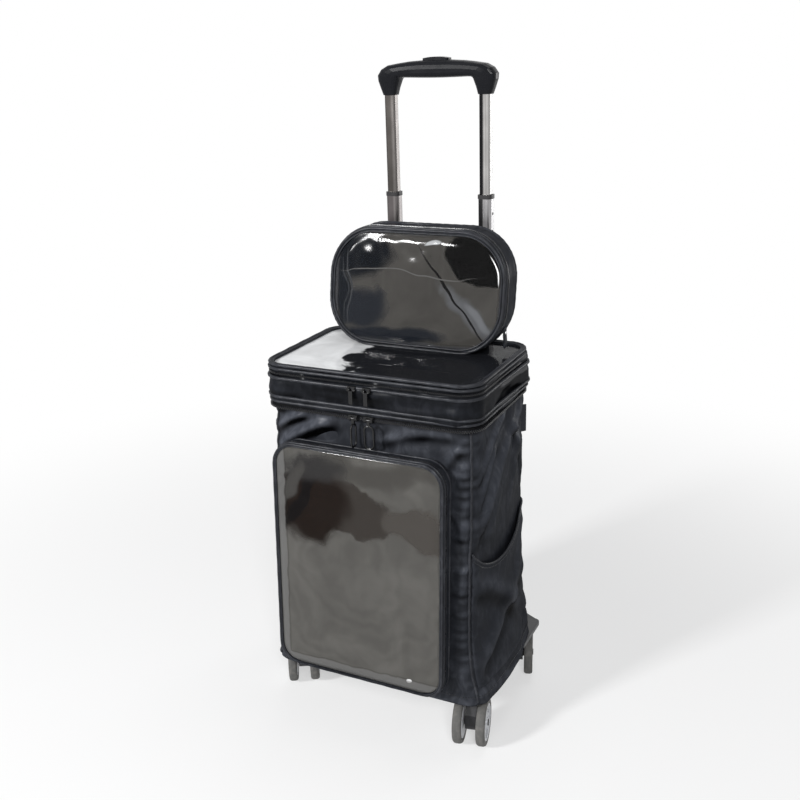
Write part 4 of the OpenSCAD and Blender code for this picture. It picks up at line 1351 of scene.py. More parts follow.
@dataclass(frozen=True)
class Crease:
    """One large fold that runs across a panel, with a hollow below it.

    Attributes:
        panel: The panel.
        start: Where it starts, as its place across the panel and its height.
        end: Where it ends.
        height: How far it stands out, before the scale of all creases.
        width: Half its width.
        bow: How far it bends in its middle, as a share of its length.
        sink: Depth of the hollow as a share of the height.
    """

    panel: Panel
    start: tuple[float, float]
    end: tuple[float, float]
    height: float
    width: float
    bow: float = 0.06
    sink: float = 0.55

    def rise(self, points: np.ndarray, normals: np.ndarray) -> np.ndarray:
        """How far the fold lifts each point.

        Args:
            points: Points of the body.
            normals: Their unit normals.

        Returns:
            A distance for each point.
        """
        axis, way = self.panel.value
        facing = np.clip(normals[..., axis] * way * 1.5 - 0.4, 0, 1)
        place = np.stack([points[..., 1 - axis], points[..., 2]], axis=-1) - np.array(self.start)
        run = np.array(self.end) - np.array(self.start)
        length = np.linalg.norm(run)
        run = run / length
        along = place @ run
        across = place @ np.array([-run[1], run[0]]) * (1 if run[0] > 0 else -1)
        bow = self.bow * length * np.sin(np.clip(along / length, 0, 1) * math.pi)
        fade = np.clip(along / length * 4 + 0.6, 0, 1) * np.clip((1 - along / length) * 4 + 0.6, 0, 1)
        ridge = np.exp(-((across - bow) / self.width) ** 2)
        hollow = np.exp(-((across - bow + 1.8 * self.width) / (1.1 * self.width)) ** 2)
        return CREASE_SCALE * self.height * (ridge - self.sink * hollow) * fade * facing


CREASES = (
    Crease(Panel.RIGHT, (-0.078, 0.272), (0.078, 0.392), 0.0055, 0.010),
    Crease(Panel.RIGHT, (-0.080, 0.335), (0.010, 0.398), 0.0040, 0.0065),
    Crease(Panel.RIGHT, (-0.078, 0.300), (-0.025, 0.362), 0.0028, 0.005),
    Crease(Panel.RIGHT, (0.080, 0.292), (0.030, 0.372), 0.0030, 0.007),
    Crease(Panel.RIGHT, (-0.076, 0.112), (0.066, 0.196), 0.0030, 0.011),
    Crease(Panel.RIGHT, (0.078, 0.100), (0.012, 0.158), 0.0028, 0.008),
    Crease(Panel.RIGHT, (-0.080, 0.205), (-0.030, 0.150), 0.0022, 0.007),
    Crease(Panel.LEFT, (-0.080, 0.380), (0.070, 0.290), 0.0048, 0.010),
    Crease(Panel.LEFT, (-0.078, 0.300), (0.020, 0.215), 0.0034, 0.008),
    Crease(Panel.LEFT, (0.082, 0.360), (0.010, 0.395), 0.0030, 0.007),
    Crease(Panel.LEFT, (-0.070, 0.120), (0.078, 0.175), 0.0034, 0.012),
    Crease(Panel.FRONT, (-0.122, 0.350), (-0.050, 0.390), 0.0045, 0.0074),
    Crease(Panel.FRONT, (-0.128, 0.372), (-0.085, 0.396), 0.0040, 0.0050),
    Crease(Panel.FRONT, (-0.128, 0.318), (-0.112, 0.360), 0.0040, 0.0045),
    Crease(Panel.FRONT, (0.110, 0.180), (0.127, 0.215), 0.0020, 0.0045),
    Crease(Panel.FRONT, (0.127, 0.260), (0.110, 0.300), 0.0020, 0.0045),
    Crease(Panel.FRONT, (0.020, 0.378), (0.110, 0.394), 0.0022, 0.006),
    Crease(Panel.FRONT, (0.100, 0.360), (0.126, 0.392), 0.0026, 0.005),
    Crease(Panel.BACK, (-0.110, 0.250), (0.060, 0.310), 0.0030, 0.012),
    Crease(Panel.BACK, (0.110, 0.200), (-0.060, 0.240), 0.0026, 0.012),
)
PATCH_CREASES = (
    Crease(Panel.RIGHT, (-0.085, 0.212), (0.030, 0.128), 0.0032, 0.011),
    Crease(Panel.RIGHT, (-0.080, 0.105), (0.075, 0.168), 0.0028, 0.012),
    Crease(Panel.RIGHT, (0.082, 0.235), (0.020, 0.165), 0.0022, 0.009),
)


@dataclass
class BagBody:
    """The soft body: one sewn shell with a flaring skirt, piped corner seams and a side pocket."""

    heights: tuple[float, ...] = (0.0602, 0.077, 0.102, 0.142, 0.222, 0.322, 0.4025)
    half_widths: tuple[float, ...] = (0.147, 0.144, 0.137, 0.133, 0.132, 0.1325, 0.1315)
    bulges: tuple[float, ...] = (0.005, 0.006, 0.009, 0.009, 0.006, 0.004, 0.001)
    corners: tuple[float, ...] = (0.031, 0.030, 0.026, 0.023, 0.021, 0.020, 0.020)
    front_top: float = 0.084
    front_foot: float = 0.103
    back: float = 0.090
    skirt_end: float = 0.024
    tray_top: float = 0.0675
    wall: float = 0.0022
    rows: int = 132
    arc: int = 12
    across: int = 64
    along: int = 48
    seam_calm: float = 0.017
    patch_low: float = 0.081
    patch_mouth: float = 0.2545
    patch_sag: float = 0.031
    skin: np.ndarray | None = None
    outward: np.ndarray | None = None
    rise: np.ndarray | None = None
    plain: np.ndarray | None = None

    def front(self, z: np.ndarray | float) -> np.ndarray | float:
        """Distance of the front panel ahead of the bag's middle at a height."""
        share = (self.heights[-1] - z) / (self.heights[-1] - self.heights[0])
        return self.front_top + share * (self.front_foot - self.front_top)

    def ring(self, z: np.ndarray, inset: float) -> np.ndarray:
        """Points round the body, one row of points to a height.

        Args:
            z: Height of each point of the ring, the same count as the ring has.
            inset: How far inside the outer face the points lie.

        Returns:
            The points.
        """
        half = np.interp(z, self.heights, self.half_widths) - inset
        bulge = np.interp(z, self.heights, self.bulges)
        radius = np.interp(z, self.heights, self.corners) - inset
        front = self.front(z) - inset
        back = self.back - inset
        x, y = [], []
        for k, (sx, sy) in enumerate(((1, 1), (-1, 1), (-1, -1), (1, -1))):
            for t in np.linspace(0, 1, self.arc + 1):
                i = len(x)
                a = math.pi / 2 * (k + t)
                cx = sx * (half[i] - radius[i])
                cy = back - radius[i] if sy > 0 else -front[i] + radius[i]
                x.append(cx + radius[i] * math.cos(a))
                y.append(cy + radius[i] * math.sin(a))
            count = self.across if k % 2 == 0 else self.along
            for t in np.arange(1, count) / count:
                i = len(x)
                if k % 2 == 0:
                    x.append((half[i] - radius[i]) * sx * (1 - 2 * t))
                    y.append(back if sy > 0 else -front[i])
                else:
                    low, high = -front[i] + radius[i], back - radius[i]
                    x.append(sx * (half[i] + bulge[i] * 4 * t * (1 - t)))
                    y.append(high + (low - high) * t if sx < 0 else low + (high - low) * t)
        return np.column_stack([x, y, z])

    def count(self) -> int:
        """Number of points round the body."""
        return 4 * (self.arc + 1) + 2 * (self.across - 1) + 2 * (self.along - 1)

    def seams(self) -> list[int]:
        """Columns of the corner seams: rear right, rear left, front left and front right."""
        half, turn, side = self.arc // 2, self.arc + self.across, self.arc + self.along
        return [half, turn + half, turn + side + half, 2 * turn + side + half]

    def surface(self) -> None:
        """Makes the outer face with its folds, one row of points to a height."""
        flat = self.ring(np.full(self.count(), self.heights[0]), 0.0)
        lift = np.clip((flat[:, 1] - self.skirt_end) / 0.01, 0, 1)
        foot = self.heights[0] + 0.0004 + (self.tray_top - self.heights[0]) * lift
        shares = np.linspace(0, 1, self.rows)
        points = np.array([self.ring(foot + (self.heights[-1] - foot) * t, 0.0) for t in shares])
        normals = grid_normals(points, False, True)
        clear = 1 - np.exp(-(self.seam_distance(points) / self.seam_calm) ** 2)
        rise = clear * sum(crease.rise(points, normals) for crease in CREASES)
        plain, points = points, points + normals * rise[..., None]
        held = np.zeros(points.shape[:2], bool)
        held[0] = held[-1] = True
        held[:, self.seams()] = True
        settled = clear * Drape(growth=0.011, stiff=5.0, out=0.004).folds(points, normals, False, True, held)
        moved = settled + self.folds(points, normals)
        points = points + normals * moved[..., None]
        self.skin, self.outward = points, grid_normals(points, False, True)
        self.rise, self.plain = rise + moved, plain

    def seam_distance(self, points: np.ndarray) -> np.ndarray:
        """Distance of each point of the shell from the nearest corner seam."""
        return np.min([np.linalg.norm(points - points[:, k:k + 1], axis=-1) for k in self.seams()], axis=0)

    def folds(self, points: np.ndarray, normals: np.ndarray) -> np.ndarray:
        """How far sags, seams and gathers move the fabric.

        Args:
            points: The plain shape.
            normals: Its unit normals.

        Returns:
            A distance for each point.
        """
        side = np.clip(np.abs(normals[..., 0]) * 1.6 - 0.5, 0, 1)
        sag = billow(points, (0.12, 0.12, 0.1), 3, 2) * (0.0006 + 0.001 * side)
        away = self.seam_distance(points)
        groove = -0.0014 * np.exp(-(away / 0.0034) ** 2)
        deep = np.where(points[..., 1] < 0, 0.0030, 0.0013)
        beside = np.exp(-((away - 0.007) / 0.0105) ** 2)
        gathers = billow(points, (0.05, 0.05, 0.0115), 21, 2) * deep * beside
        hem = np.exp(-((points[..., 2] - self.heights[0] - 0.005) / 0.006) ** 2)
        top = np.exp(-((points[..., 2] - self.heights[-1] + 0.004) / 0.012) ** 2)
        return (sag + groove + gathers + 0.0012 * hem * billow(points, (0.03, 0.03, 0.05), 5, 2)
                + 0.0016 * top * billow(points, (0.022, 0.022, 0.05), 6, 2))

    def shell(self) -> None:
        """The fabric shell with an inside face."""
        self.surface()
        inner = np.array([self.ring(row[:, 2], self.wall + 0.001) for row in self.skin[::-1]])
        grid = place_bag(np.concatenate([self.skin, inner]))
        made = piece("bag_shell", grid, grid_faces(len(grid), grid.shape[1], True, True))
        paint_fold_shade(made, self.rise, self.plain)
        dress(made, Finish.NYLON, "base", "bag_fabric", "body_front", "body_back", "body_left", "body_right",
              "body_floor")

    def seam_cords(self) -> None:
        """Puckered piping in the four corner seams, and the hem's stitches."""
        names = ("rear_right", "rear_left", "front_left", "front_right")
        steps, radius, pitch = 260, 0.0016, 0.0082
        for k, (name, column) in enumerate(zip(names, self.seams())):
            path = self.skin[1:-1, column] + self.outward[1:-1, column] * 0.0009
            z = np.linspace(path[0, 2], path[-1, 2], steps)
            path = np.column_stack([np.interp(z, path[:, 2], path[:, j]) for j in range(3)])
            pucker = np.sin(z / pitch * 2 * math.pi + 2 * billow(path, (0.03, 0.03, 0.03), 40 + k, 1))
            wander = billow(path, (0.02, 0.02, 0.012), 50 + k, 2)[:, None]
            path = path + wander * np.array([0.0004, 0.0004, 0.0])
            cord = tube_along(f"corner_piping_{name}", place_bag(path), radius * (1 + 0.09 * pucker))
            dress(cord, Finish.PIPING, "base", "bag_fabric")
        hem = 4
        path = np.vstack([self.skin[hem], self.skin[hem, :1]])
        out = np.vstack([self.outward[hem], self.outward[hem, :1]])
        stitches = stitch_row("hem_stitches", place_bag(path + out * 0.0002), out)
        dress(stitches, Finish.TEETH, "base", "bag_fabric")

    def floor(self) -> None:
        """Lining on the floor board."""
        thickness = 0.002
        top = self.tray_top + thickness
        points = self.ring(np.full(self.count(), top), self.wall + 0.0014)
        line = Outline(points[:, :2], np.zeros((len(points), 2)))
        made = filled_panel("bag_floor", line, top, thickness, place_bag)
        dress(made, Finish.LINING, "base", "bag_fabric")

    def side_pocket(self) -> None:
        """Patch pocket on the right side, sewn into both seams, whose bound mouth sags."""
        columns = list(range(self.seams()[3] + 1, self.count())) + list(range(self.seams()[0]))
        count, thickness = 64, 0.001
        share = np.linspace(0, 1, len(columns))
        mouth = self.patch_mouth - self.patch_sag * np.sin(math.pi * share**0.72)
        grid = np.zeros((count, len(columns), 3))
        for j, column in enumerate(columns):
            z = np.linspace(self.patch_low, mouth[j], count)
            for axis in range(2):
                grid[:, j, axis] = np.interp(z, self.skin[:, column, 2], self.skin[:, column, axis])
            grid[:, j, 2] = z
        normals = grid_normals(grid, False, False)
        normals *= np.sign(normals[..., 0].mean())
        rise = np.linspace(0, 1, count)[:, None]
        belly = np.sin(math.pi * share)[None, :]
        inside = np.minimum(1, 10 * np.minimum(rise, 1 - rise))
        off = 0.0013 + 0.0058 * rise**2.2 * belly**0.8 + 0.0012 * inside * belly
        held = np.zeros(off.shape, bool)
        held[0] = held[:, 0] = held[:, -1] = True
        drape = Drape(growth=0.006, out=0.0028, back=0.0008, stiff=6.0)
        settled = drape.folds(grid, normals, False, False, held)
        creased = np.minimum(1, 4 * belly) * sum(crease.rise(grid, normals) for crease in PATCH_CREASES)
        outer = grid + normals * np.maximum(off + settled + creased, 0.0011)[..., None]
        inner = outer - normals * thickness
        points = place_bag(np.concatenate([outer.reshape(-1, 3), inner.reshape(-1, 3)]))
        patch = piece("side_pocket_patch", points, sheet_faces(count, len(columns)))
        paint_fold_shade(patch, settled + creased, grid)
        dress(patch, Finish.NYLON, "base", "bag_fabric", "side_pocket")
        edge = (outer[-1] + inner[-1]) / 2
        binding = tube_along("side_pocket_binding", place_bag(edge), 0.0015)
        dress(binding, Finish.PIPING, "base", "bag_fabric")
        hem, out = outer[-3], normals[-3]
        stitches = stitch_row("side_pocket_stitches", place_bag(hem + out * 0.0002), out)
        dress(stitches, Finish.TEETH, "base", "bag_fabric")

    def label(self) -> None:
        """Bare woven loop in the rear right seam."""
        low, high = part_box("seam_label")
        count, length, spread, thickness = 14, 0.011, 0.0012, 0.0004
        base = np.array([low.x, low.y + spread])
        way = np.array([1.0, 1.0]) / math.sqrt(2)
        out = np.array([1.0, -1.0]) / math.sqrt(2)
        angles = [math.pi * k / count for k in range(count + 1)]
        loop = [base + way * length * math.sin(a) ** 0.8 + out * spread * math.cos(a) for a in angles]
        inner = [p - out * thickness * np.sign(k - count / 2) for k, p in enumerate(loop)]
        loop += inner[::-1]
        grid = np.array([np.column_stack([np.array(loop), np.full(len(loop), z)])
                         for z in np.linspace(low.z, high.z, 12)])
        label = piece("bare_seam_label", grid, capped_faces(len(grid), len(loop)))
        dress(label, Finish.BORDER, "base", "bag_fabric", "seam_label")

    def build(self) -> None:
        """Builds the body's pieces."""
        self.shell()
        self.seam_cords()
        self.floor()
        self.side_pocket()
        self.label()


@dataclass
class TubeLoops:
    """Four fabric loops that hold the bag's back to the outer tubes."""

    x: float = 0.0626
    width: float = 0.0256
    front: float = 0.0885
    rear: float = 0.1418
    wall: float = 0.0021
    bands: tuple[tuple[float, float], ...] = ((0.127, 0.169), (0.3325, 0.3745))

    def build(self) -> None:
        """Builds the four loops in one piece, with a row of stitches along each edge."""
        points, faces = [], []
        for side in (-1, 1):
            middle = (side * self.x, (self.front + self.rear) / 2)
            line = Outline.rounded(self.width, self.rear - self.front, radius=0.0085, arc=8, step=0.003,
                                   middle=middle)
            for number, (low, high) in enumerate(self.bands):
                corners = [(0.0, low), (0.0, high), (self.wall, high), (self.wall, low)]
                profile = curve_profile(corners, 0.0009, 3)
                band = band_points(line, profile, place_bag)
                normals = grid_normals(band, True, True)
                band = band + normals * (billow(band, (0.02, 0.02, 0.02), 33 + number, 2) * 0.0004)[..., None]
                start = sum(len(p) for p in points)
                faces += [tuple(start + k for k in f)
                          for f in grid_faces(len(profile), len(line.points), True, True)]
                points.append(band.reshape(-1, 3))
                hand = "left" if side < 0 else "right"
                for edge, z in (("low", low + 0.003), ("high", high - 0.003)):
                    row = self.stitches(f"loop_{hand}_{number}_{edge}", line, z)
                    dress(row, Finish.TEETH, "base", "bag_fabric")
        loops = piece("back_tube_loops", np.concatenate(points), faces)
        dress(loops, Finish.BORDER, "base", "bag_fabric", "tube_loops")

    def stitches(self, name: str, line: Outline, height: float) -> Piece:
        """A row of stitches round the outside of a loop.

        Args:
            name: Name of the piece.
            line: Outline of the loop.
            height: Height of the row.

        Returns:
            The object.
        """
        flat = np.vstack([line.points, line.points[:1]])
        out = np.vstack([line.normals, line.normals[:1]])
        path = place_bag(np.column_stack([flat + out * 0.0001, np.full(len(flat), height)]))
        return stitch_row(name, path, np.column_stack([out, np.zeros(len(out))]))


@dataclass
class FrontPocket:
    """The front pocket: a piped gusset, a narrow border with a zip, and a clear window."""

    body: BagBody
    width: float = 0.222
    height: float = 0.294
    foot: float = 0.072
    radius: float = 0.028
    shift: float = -0.007
    depth: float = 0.018
    border: float = 0.0036
    frame: float = 0.0023
    hinge: float = 0.004

    def place(self, points: np.ndarray) -> np.ndarray:
        """Stands flat points, with their height as depth, against the slanting front panel.

        Args:
            points: The points.

        Returns:
            The points in the shared frame.
        """
        top, low = self.body.heights[-1], self.body.heights[0]
        slope = (self.body.front_foot - self.body.front_top) / (top - low)
        slant = math.atan(slope)
        middle = self.foot + self.height / 2 * math.cos(slant)
        along = np.array([0.0, math.sin(slant), math.cos(slant)])
        out = np.array([0.0, -math.cos(slant), math.sin(slant)])
        origin = np.array([self.shift, -self.body.front(middle), middle])
        across = np.array([1.0, 0.0, 0.0])
        stood = origin + points[..., :1] * across + points[..., 1:2] * along + points[..., 2:3] * out
        return place_bag(stood)

    def cut_flap(self, points: np.ndarray) -> np.ndarray:
        """Places points, those under the hinge line on the line."""
        return self.place(raised(points, self.hinge - self.height / 2))

    def line(self) -> Outline:
        """Outline of the pocket."""
        return Outline.rounded(self.width, self.height, self.radius)

    def gusset(self) -> None:
        """Wall with its piping and the zip's teeth."""
        line, d = self.line(), self.depth
        wall = curve_profile([(0.0, 0.0), (-0.0008, d * 0.35), (-0.0008, d * 0.7), (0.0, d), (0.0024, d),
                              (0.0022, 0.0)], 0.002, 5)
        drape = Drape(growth=0.03, out=0.0022, back=0.0012, step=1)
        made = soft_band("pocket_wall", line, wall, self.place, swell=0.0006, size=(0.03, 0.03, 0.03),
                         seed=60, drape=drape)
        dress(made, Finish.NYLON, "base", "bag_fabric", "pocket_gusset")
        sew_piping((("pocket_rear_piping", 0.0002, 0.0022, 0.0015),
                    ("pocket_zip_piping", 0.0002, d - 0.0058, 0.0012),
                    ("pocket_wall_piping", 0.0004, d - 0.0018, 0.0016)), line, self.place, 0.08, "base")
        teeth = teeth_ring("pocket_zip_teeth", line, -0.0004, d - 0.0038, self.place,
                           pitch=0.0022, size=(0.0012, 0.0016, 0.001))
        dress(teeth, Finish.TEETH, "base", "bag_fabric")

    def flap(self) -> None:
        """Border and window that open together."""
        line = self.line()
        low = self.depth + 0.0004
        top = low + self.frame
        edge = [(0.0004, low), (0.0002, top), (self.border - 0.001, top + 0.0002),
                (self.border, low + 0.0012), (self.border + 0.0006, low)]
        made = soft_band("pocket_flap_border", line, curve_profile(edge, 0.0008), self.cut_flap,
                         swell=0.0003, size=(0.04, 0.04, 0.04), seed=61)
        dress(made, Finish.BORDER, "pocket_flap", "frame_fabric", "pocket_frame")
        sew_piping((("pocket_flap_piping", 0.0012, top - 0.0001, 0.0015),
                    ("pocket_window_piping", 0.0034, top - 0.0001, 0.0008)),
                   line, self.cut_flap, 0.08, "pocket_flap", "frame_fabric")
        inset = self.border - 0.001
        start = self.hinge + 0.0012
        window = clear_panel("pocket_clear_window", self.width - 2 * inset, self.height - inset - start,
                             self.radius - inset, (0.0, (start - inset) / 2), low + 0.0008, self.place,
                             swell=0.0013, size=(0.07, 0.07, 0.05), seed=70, crown=0.0022, margin=0.011)
        dress(window, Finish.POCKET_WINDOW, "pocket_flap", "clear_window", "pocket_window")

    def build(self) -> None:
        """Builds the pocket's pieces."""
        self.gusset()
        self.flap()


@dataclass
class Lid:
    """The lid compartment: its floor, ridged wall, bordered window, and the main zip below it."""

    width: float = 0.276
    depth: float = 0.186
    radius: float = 0.028
    inset: float = 0.002
    mouth: float = 0.4025
    floor: float = 0.4063
    wall_top: float = 0.4535
    teeth: float = 0.446
    border: float = 0.0062
    ridges: tuple[tuple[str, float, float, float], ...] = (
        ("lid_zip_upper_piping", 0.0, 0.4513, 0.0019), ("lid_zip_lower_piping", -0.0002, 0.4403, 0.0022),
        ("lid_lower_piping", -0.0004, 0.4172, 0.0020), ("lid_lowest_piping", 0.0, 0.4112, 0.0018))

    def line(self, inset: float) -> Outline:
        """Outline at a distance inside the lid's."""
        return Outline.rounded(self.width - 2 * inset, self.depth - 2 * inset, self.radius - inset)

    def swell(self, points: np.ndarray) -> np.ndarray:
        """Lets the wall lean out at the rear right, most at half its height.

        Args:
            points: Points of the wall.

        Returns:
            The points in the shared frame.
        """
        moved = points.copy()
        share = np.clip((points[..., 2] - self.floor) / (self.wall_top - self.floor), 0, 1)
        rear = np.clip((points[..., 1] + 0.02) / 0.09, 0, 1) * np.clip(points[..., 0] / 0.05, 0, 1)
        left = np.clip((0.02 - points[..., 1]) / 0.09, 0, 1) * np.clip(-points[..., 0] / 0.05, 0, 1)
        lean = np.sin(math.pi * share**0.8)
        moved[..., 0] += 0.0042 * rear * lean - 0.0012 * left * lean
        moved[..., 1] += 0.0012 * rear * lean
        return place_bag(moved)

    def main_zip(self) -> None:
        """Tape and teeth round the body's mouth."""
        line = self.line(self.inset / 2)
        low, middle, top = self.mouth + 0.0004, self.mouth + 0.0018, self.mouth + 0.0033
        corners = [(0.0012, low), (0.0006, middle), (0.0012, top), (0.0095, top), (0.0115, low)]
        tape = curve_profile(corners, 0.0006)
        made = soft_band("main_zip_tape", line, tape, place_bag, swell=0.0002, size=(0.03, 0.03, 0.03),
                         seed=80)
        dress(made, Finish.BORDER, "base", "zip_tape", "main_zip")
        teeth = teeth_ring("main_zip_teeth", line, 0.0002, middle, place_bag,
                           pitch=0.0027, size=(0.0016, 0.0024, 0.0017))
        dress(teeth, Finish.TEETH, "base", "zip_tape")

    def wall(self) -> None:
        """Floor and wall with their ridges."""
        line = self.line(self.inset)
        thickness = 0.002
        low, top = self.floor + thickness, self.wall_top
        base = filled_panel("lid_floor_panel", line, low, thickness, place_bag)
        dress(base, Finish.LINING, "lid", "bag_fabric", "lid_floor")
        profile = curve_profile([(0.0, low), (-0.0004, low + 0.006), (0.0004, low + 0.014),
                                 (-0.0004, low + 0.024), (0.0006, low + 0.032), (0.0012, low + 0.0375),
                                 (0.0, top), (0.0026, top), (0.0026, low)], 0.004, 5)
        drape = Drape(growth=0.05, out=0.0045, back=0.002, step=1)
        made = soft_band("lid_wall_fabric", line, profile, self.swell, swell=0.0026,
                         size=(0.06, 0.06, 0.014), seed=81, drape=drape)
        # The lid wall's darker nylon is painted shade.
        dress(made, Finish.LID_NYLON, "lid", "bag_fabric", "lid_wall")
        sew_piping(self.ridges, line, self.swell, 0.06, "lid")
        teeth = teeth_ring("lid_zip_teeth", line, 0.0002, self.teeth, self.swell,
                           pitch=0.0022, size=(0.0012, 0.0018, 0.0012))
        dress(teeth, Finish.TEETH, "lid", "bag_fabric")

    def flap(self) -> None:
        """Border and window that open together."""
        line = self.line(self.inset)
        low = self.wall_top + 0.0004
        edge = [(0.0004, low), (0.0, low + 0.0026), (0.0024, low + 0.0038),
                (self.border - 0.0012, low + 0.0032), (self.border, low + 0.0018), (self.border + 0.0004, low)]
        made = soft_band("lid_flap_border", line, curve_profile(edge, 0.001), place_bag,
                         swell=0.0004, size=(0.05, 0.05, 0.05), seed=82)
        dress(made, Finish.BORDER, "lid_flap", "frame_fabric", "lid_frame")
        inset = self.border - 0.001
        sew_piping((("lid_flap_piping", 0.001, low + 0.0022, 0.0022),
                    ("lid_window_piping", inset, low + 0.0022, 0.0011)),
                   line, place_bag, 0.07, "lid_flap", "frame_fabric")
        edge_inset = 2 * (self.inset + inset)
        window = clear_panel("lid_clear_window", self.width - edge_inset, self.depth - edge_inset,
                             self.radius - inset, (0.0, 0.0), low + 0.0006, place_bag,
                             swell=0.0008, size=(0.07, 0.05, 0.08), seed=83, crown=0.0006, margin=0.012)
        dress(window, Finish.LID_WINDOW, "lid_flap", "clear_window", "lid_window")

    def build(self) -> None:
        """Builds the lid's pieces."""
        self.main_zip()
        self.wall()
        self.flap()


@dataclass
class Pouch:
    """The small pouch that stands on the lid and leans back."""

    foot: float = 0.4553
    width: float = 0.231
    height: float = 0.143
    depth: float = 0.040
    radius: float = 0.058
    lean: float = math.radians(10)
    front: float = 0.022
    shift: float = 0.007
    border: float = 0.0062
    hinge: float = 0.0042

    def place(self, points: np.ndarray) -> np.ndarray:
        """Stands flat points up, with their height as depth, in the lean of the pouch.

        Args:
            points: The points.

        Returns:
            The points in the shared frame.
        """
        up = points[..., 1] + self.height / 2
        y = self.front + points[..., 2] + up * math.tan(self.lean)
        return place_bag(np.stack([points[..., 0] + self.shift, y, self.foot + up], axis=-1))

    def cut_flap(self, points: np.ndarray) -> np.ndarray:
        """Places points, those under the hinge line on the line."""
        return self.place(raised(points, self.hinge - self.height / 2))

    def pull(self) -> None:
        """Folded fabric tab of the zip, with a rivet."""
        low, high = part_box("pouch_pull")
        middle = (low + high) / 2
        half, wide = (high.x - low.x) / 2, (high.y - low.y) / 2
        count = 20
        turn = np.linspace(0, 2 * math.pi, count, endpoint=False)
        rows = []
        for t in np.linspace(0, 1, 22):
            neck = 0.22 * math.exp(-((t - 0.84) / 0.1) ** 2)
            pinch = 1 - neck - 0.3 * math.exp(-(min(t, 1 - t) / 0.035) ** 2)
            x = middle.x + np.sign(np.cos(turn)) * np.abs(np.cos(turn)) ** 0.5 * half * pinch
            y = middle.y + np.sign(np.sin(turn)) * np.abs(np.sin(turn)) ** 0.5 * wide * pinch**0.5
            z = np.full(count, low.z + (high.z - low.z) * t)
            rows.append(np.column_stack([x + 0.0003 * math.sin(7 * t), y, z]))
        tab = piece("pouch_pull_tab", np.array(rows), capped_faces(len(rows), count))
        dress(tab, Finish.BORDER, "pouch_pull", "bag_fabric", "pouch_pull")
        cap = [(0.0, half + 0.0009), (0.0012, half + 0.0009), (0.0021, half + 0.0003), (0.0023, half - 0.0003)]
        cap += [(radius, -out) for radius, out in reversed(cap)]
        rows = [np.column_stack([np.full(count, middle.x + out), middle.y + radius * np.cos(turn),
                                 high.z - 0.007 + radius * np.sin(turn)]) for radius, out in cap]
        rivet = piece("pouch_pull_rivet", np.array(rows), grid_faces(len(cap), count, False, True))
        dress(rivet, Finish.STEEL, "pouch_pull", "steel")

    def line(self) -> Outline:
        """Outline of the pouch."""
        return Outline.rounded(self.width, self.height, self.radius, arc=26, step=0.004)

    def case(self) -> None:
        """Gusset with its piping, the zip's teeth and the back."""
        line, d = self.line(), self.depth
        wall = curve_profile([(0.0004, d - 0.002), (-0.0012, d * 0.75), (-0.0014, d * 0.5), (-0.0008, 0.0135),
                              (0.0006, 0.0029), (0.003, 0.0029), (0.003, d - 0.002)], 0.004, 5)
        drape = Drape(growth=0.04, out=0.0034, back=0.002, step=1)
        made = soft_band("pouch_wall", line, wall, self.place, swell=0.0008, size=(0.035, 0.035, 0.035),
                         seed=90, drape=drape)
        dress(made, Finish.NYLON, "pouch", "bag_fabric", "pouch_gusset")
        sew_piping((("pouch_front_piping", 0.0006, 0.0042, 0.0016),
                    ("pouch_zip_piping", 0.0002, 0.0118, 0.0013),
                    ("pouch_rear_piping", 0.0006, d - 0.0042, 0.0017)), line, self.place, 0.09, "pouch")
        teeth = teeth_ring("pouch_zip_teeth", line, -0.0004, 0.008, self.place,
                           pitch=0.0022, size=(0.0012, 0.0016, 0.0011))
        dress(teeth, Finish.TEETH, "pouch", "bag_fabric")
        back = filled_panel("pouch_back_panel", Outline(line.at(0.0006), line.normals), d, 0.002, self.place)
        dress(back, Finish.NYLON, "pouch", "bag_fabric", "pouch_back")

    def flap(self) -> None:
        """Border and window that open together."""
        line = self.line()
        rear = 0.0023
        edge = [(0.0008, rear), (self.border + 0.0008, rear), (self.border, 0.0008), (0.005, 0.0004),
                (0.0042, 0.0012), (0.003, 0.0002), (0.0008, 0.0006)]
        made = soft_band("pouch_flap_border", line, curve_profile(edge, 0.0008), self.cut_flap,
                         swell=0.0003, size=(0.04, 0.04, 0.04), seed=91)
        dress(made, Finish.BORDER, "pouch_flap", "frame_fabric", "pouch_frame")
        sew_piping((("pouch_flap_piping", 0.0019, 0.0004, 0.0017),
                    ("pouch_window_piping", 0.0054, 0.0004, 0.001)),
                   line, self.cut_flap, 0.09, "pouch_flap", "frame_fabric")
        inset = self.border - 0.001
        window = clear_panel("pouch_clear_window", self.width - 2 * inset, self.height - 2 * inset,
                             self.radius - inset, (0.0, 0.0), 0.0018, self.place,
                             swell=0.0014, size=(0.05, 0.05, 0.045), seed=92, crown=-0.0016, margin=0.012)
        dress(window, Finish.POUCH_WINDOW, "pouch_flap", "clear_window", "pouch_window")

    def build(self) -> None:
        """Builds the pouch's pieces."""
        self.case()
        self.flap()
        self.pull()


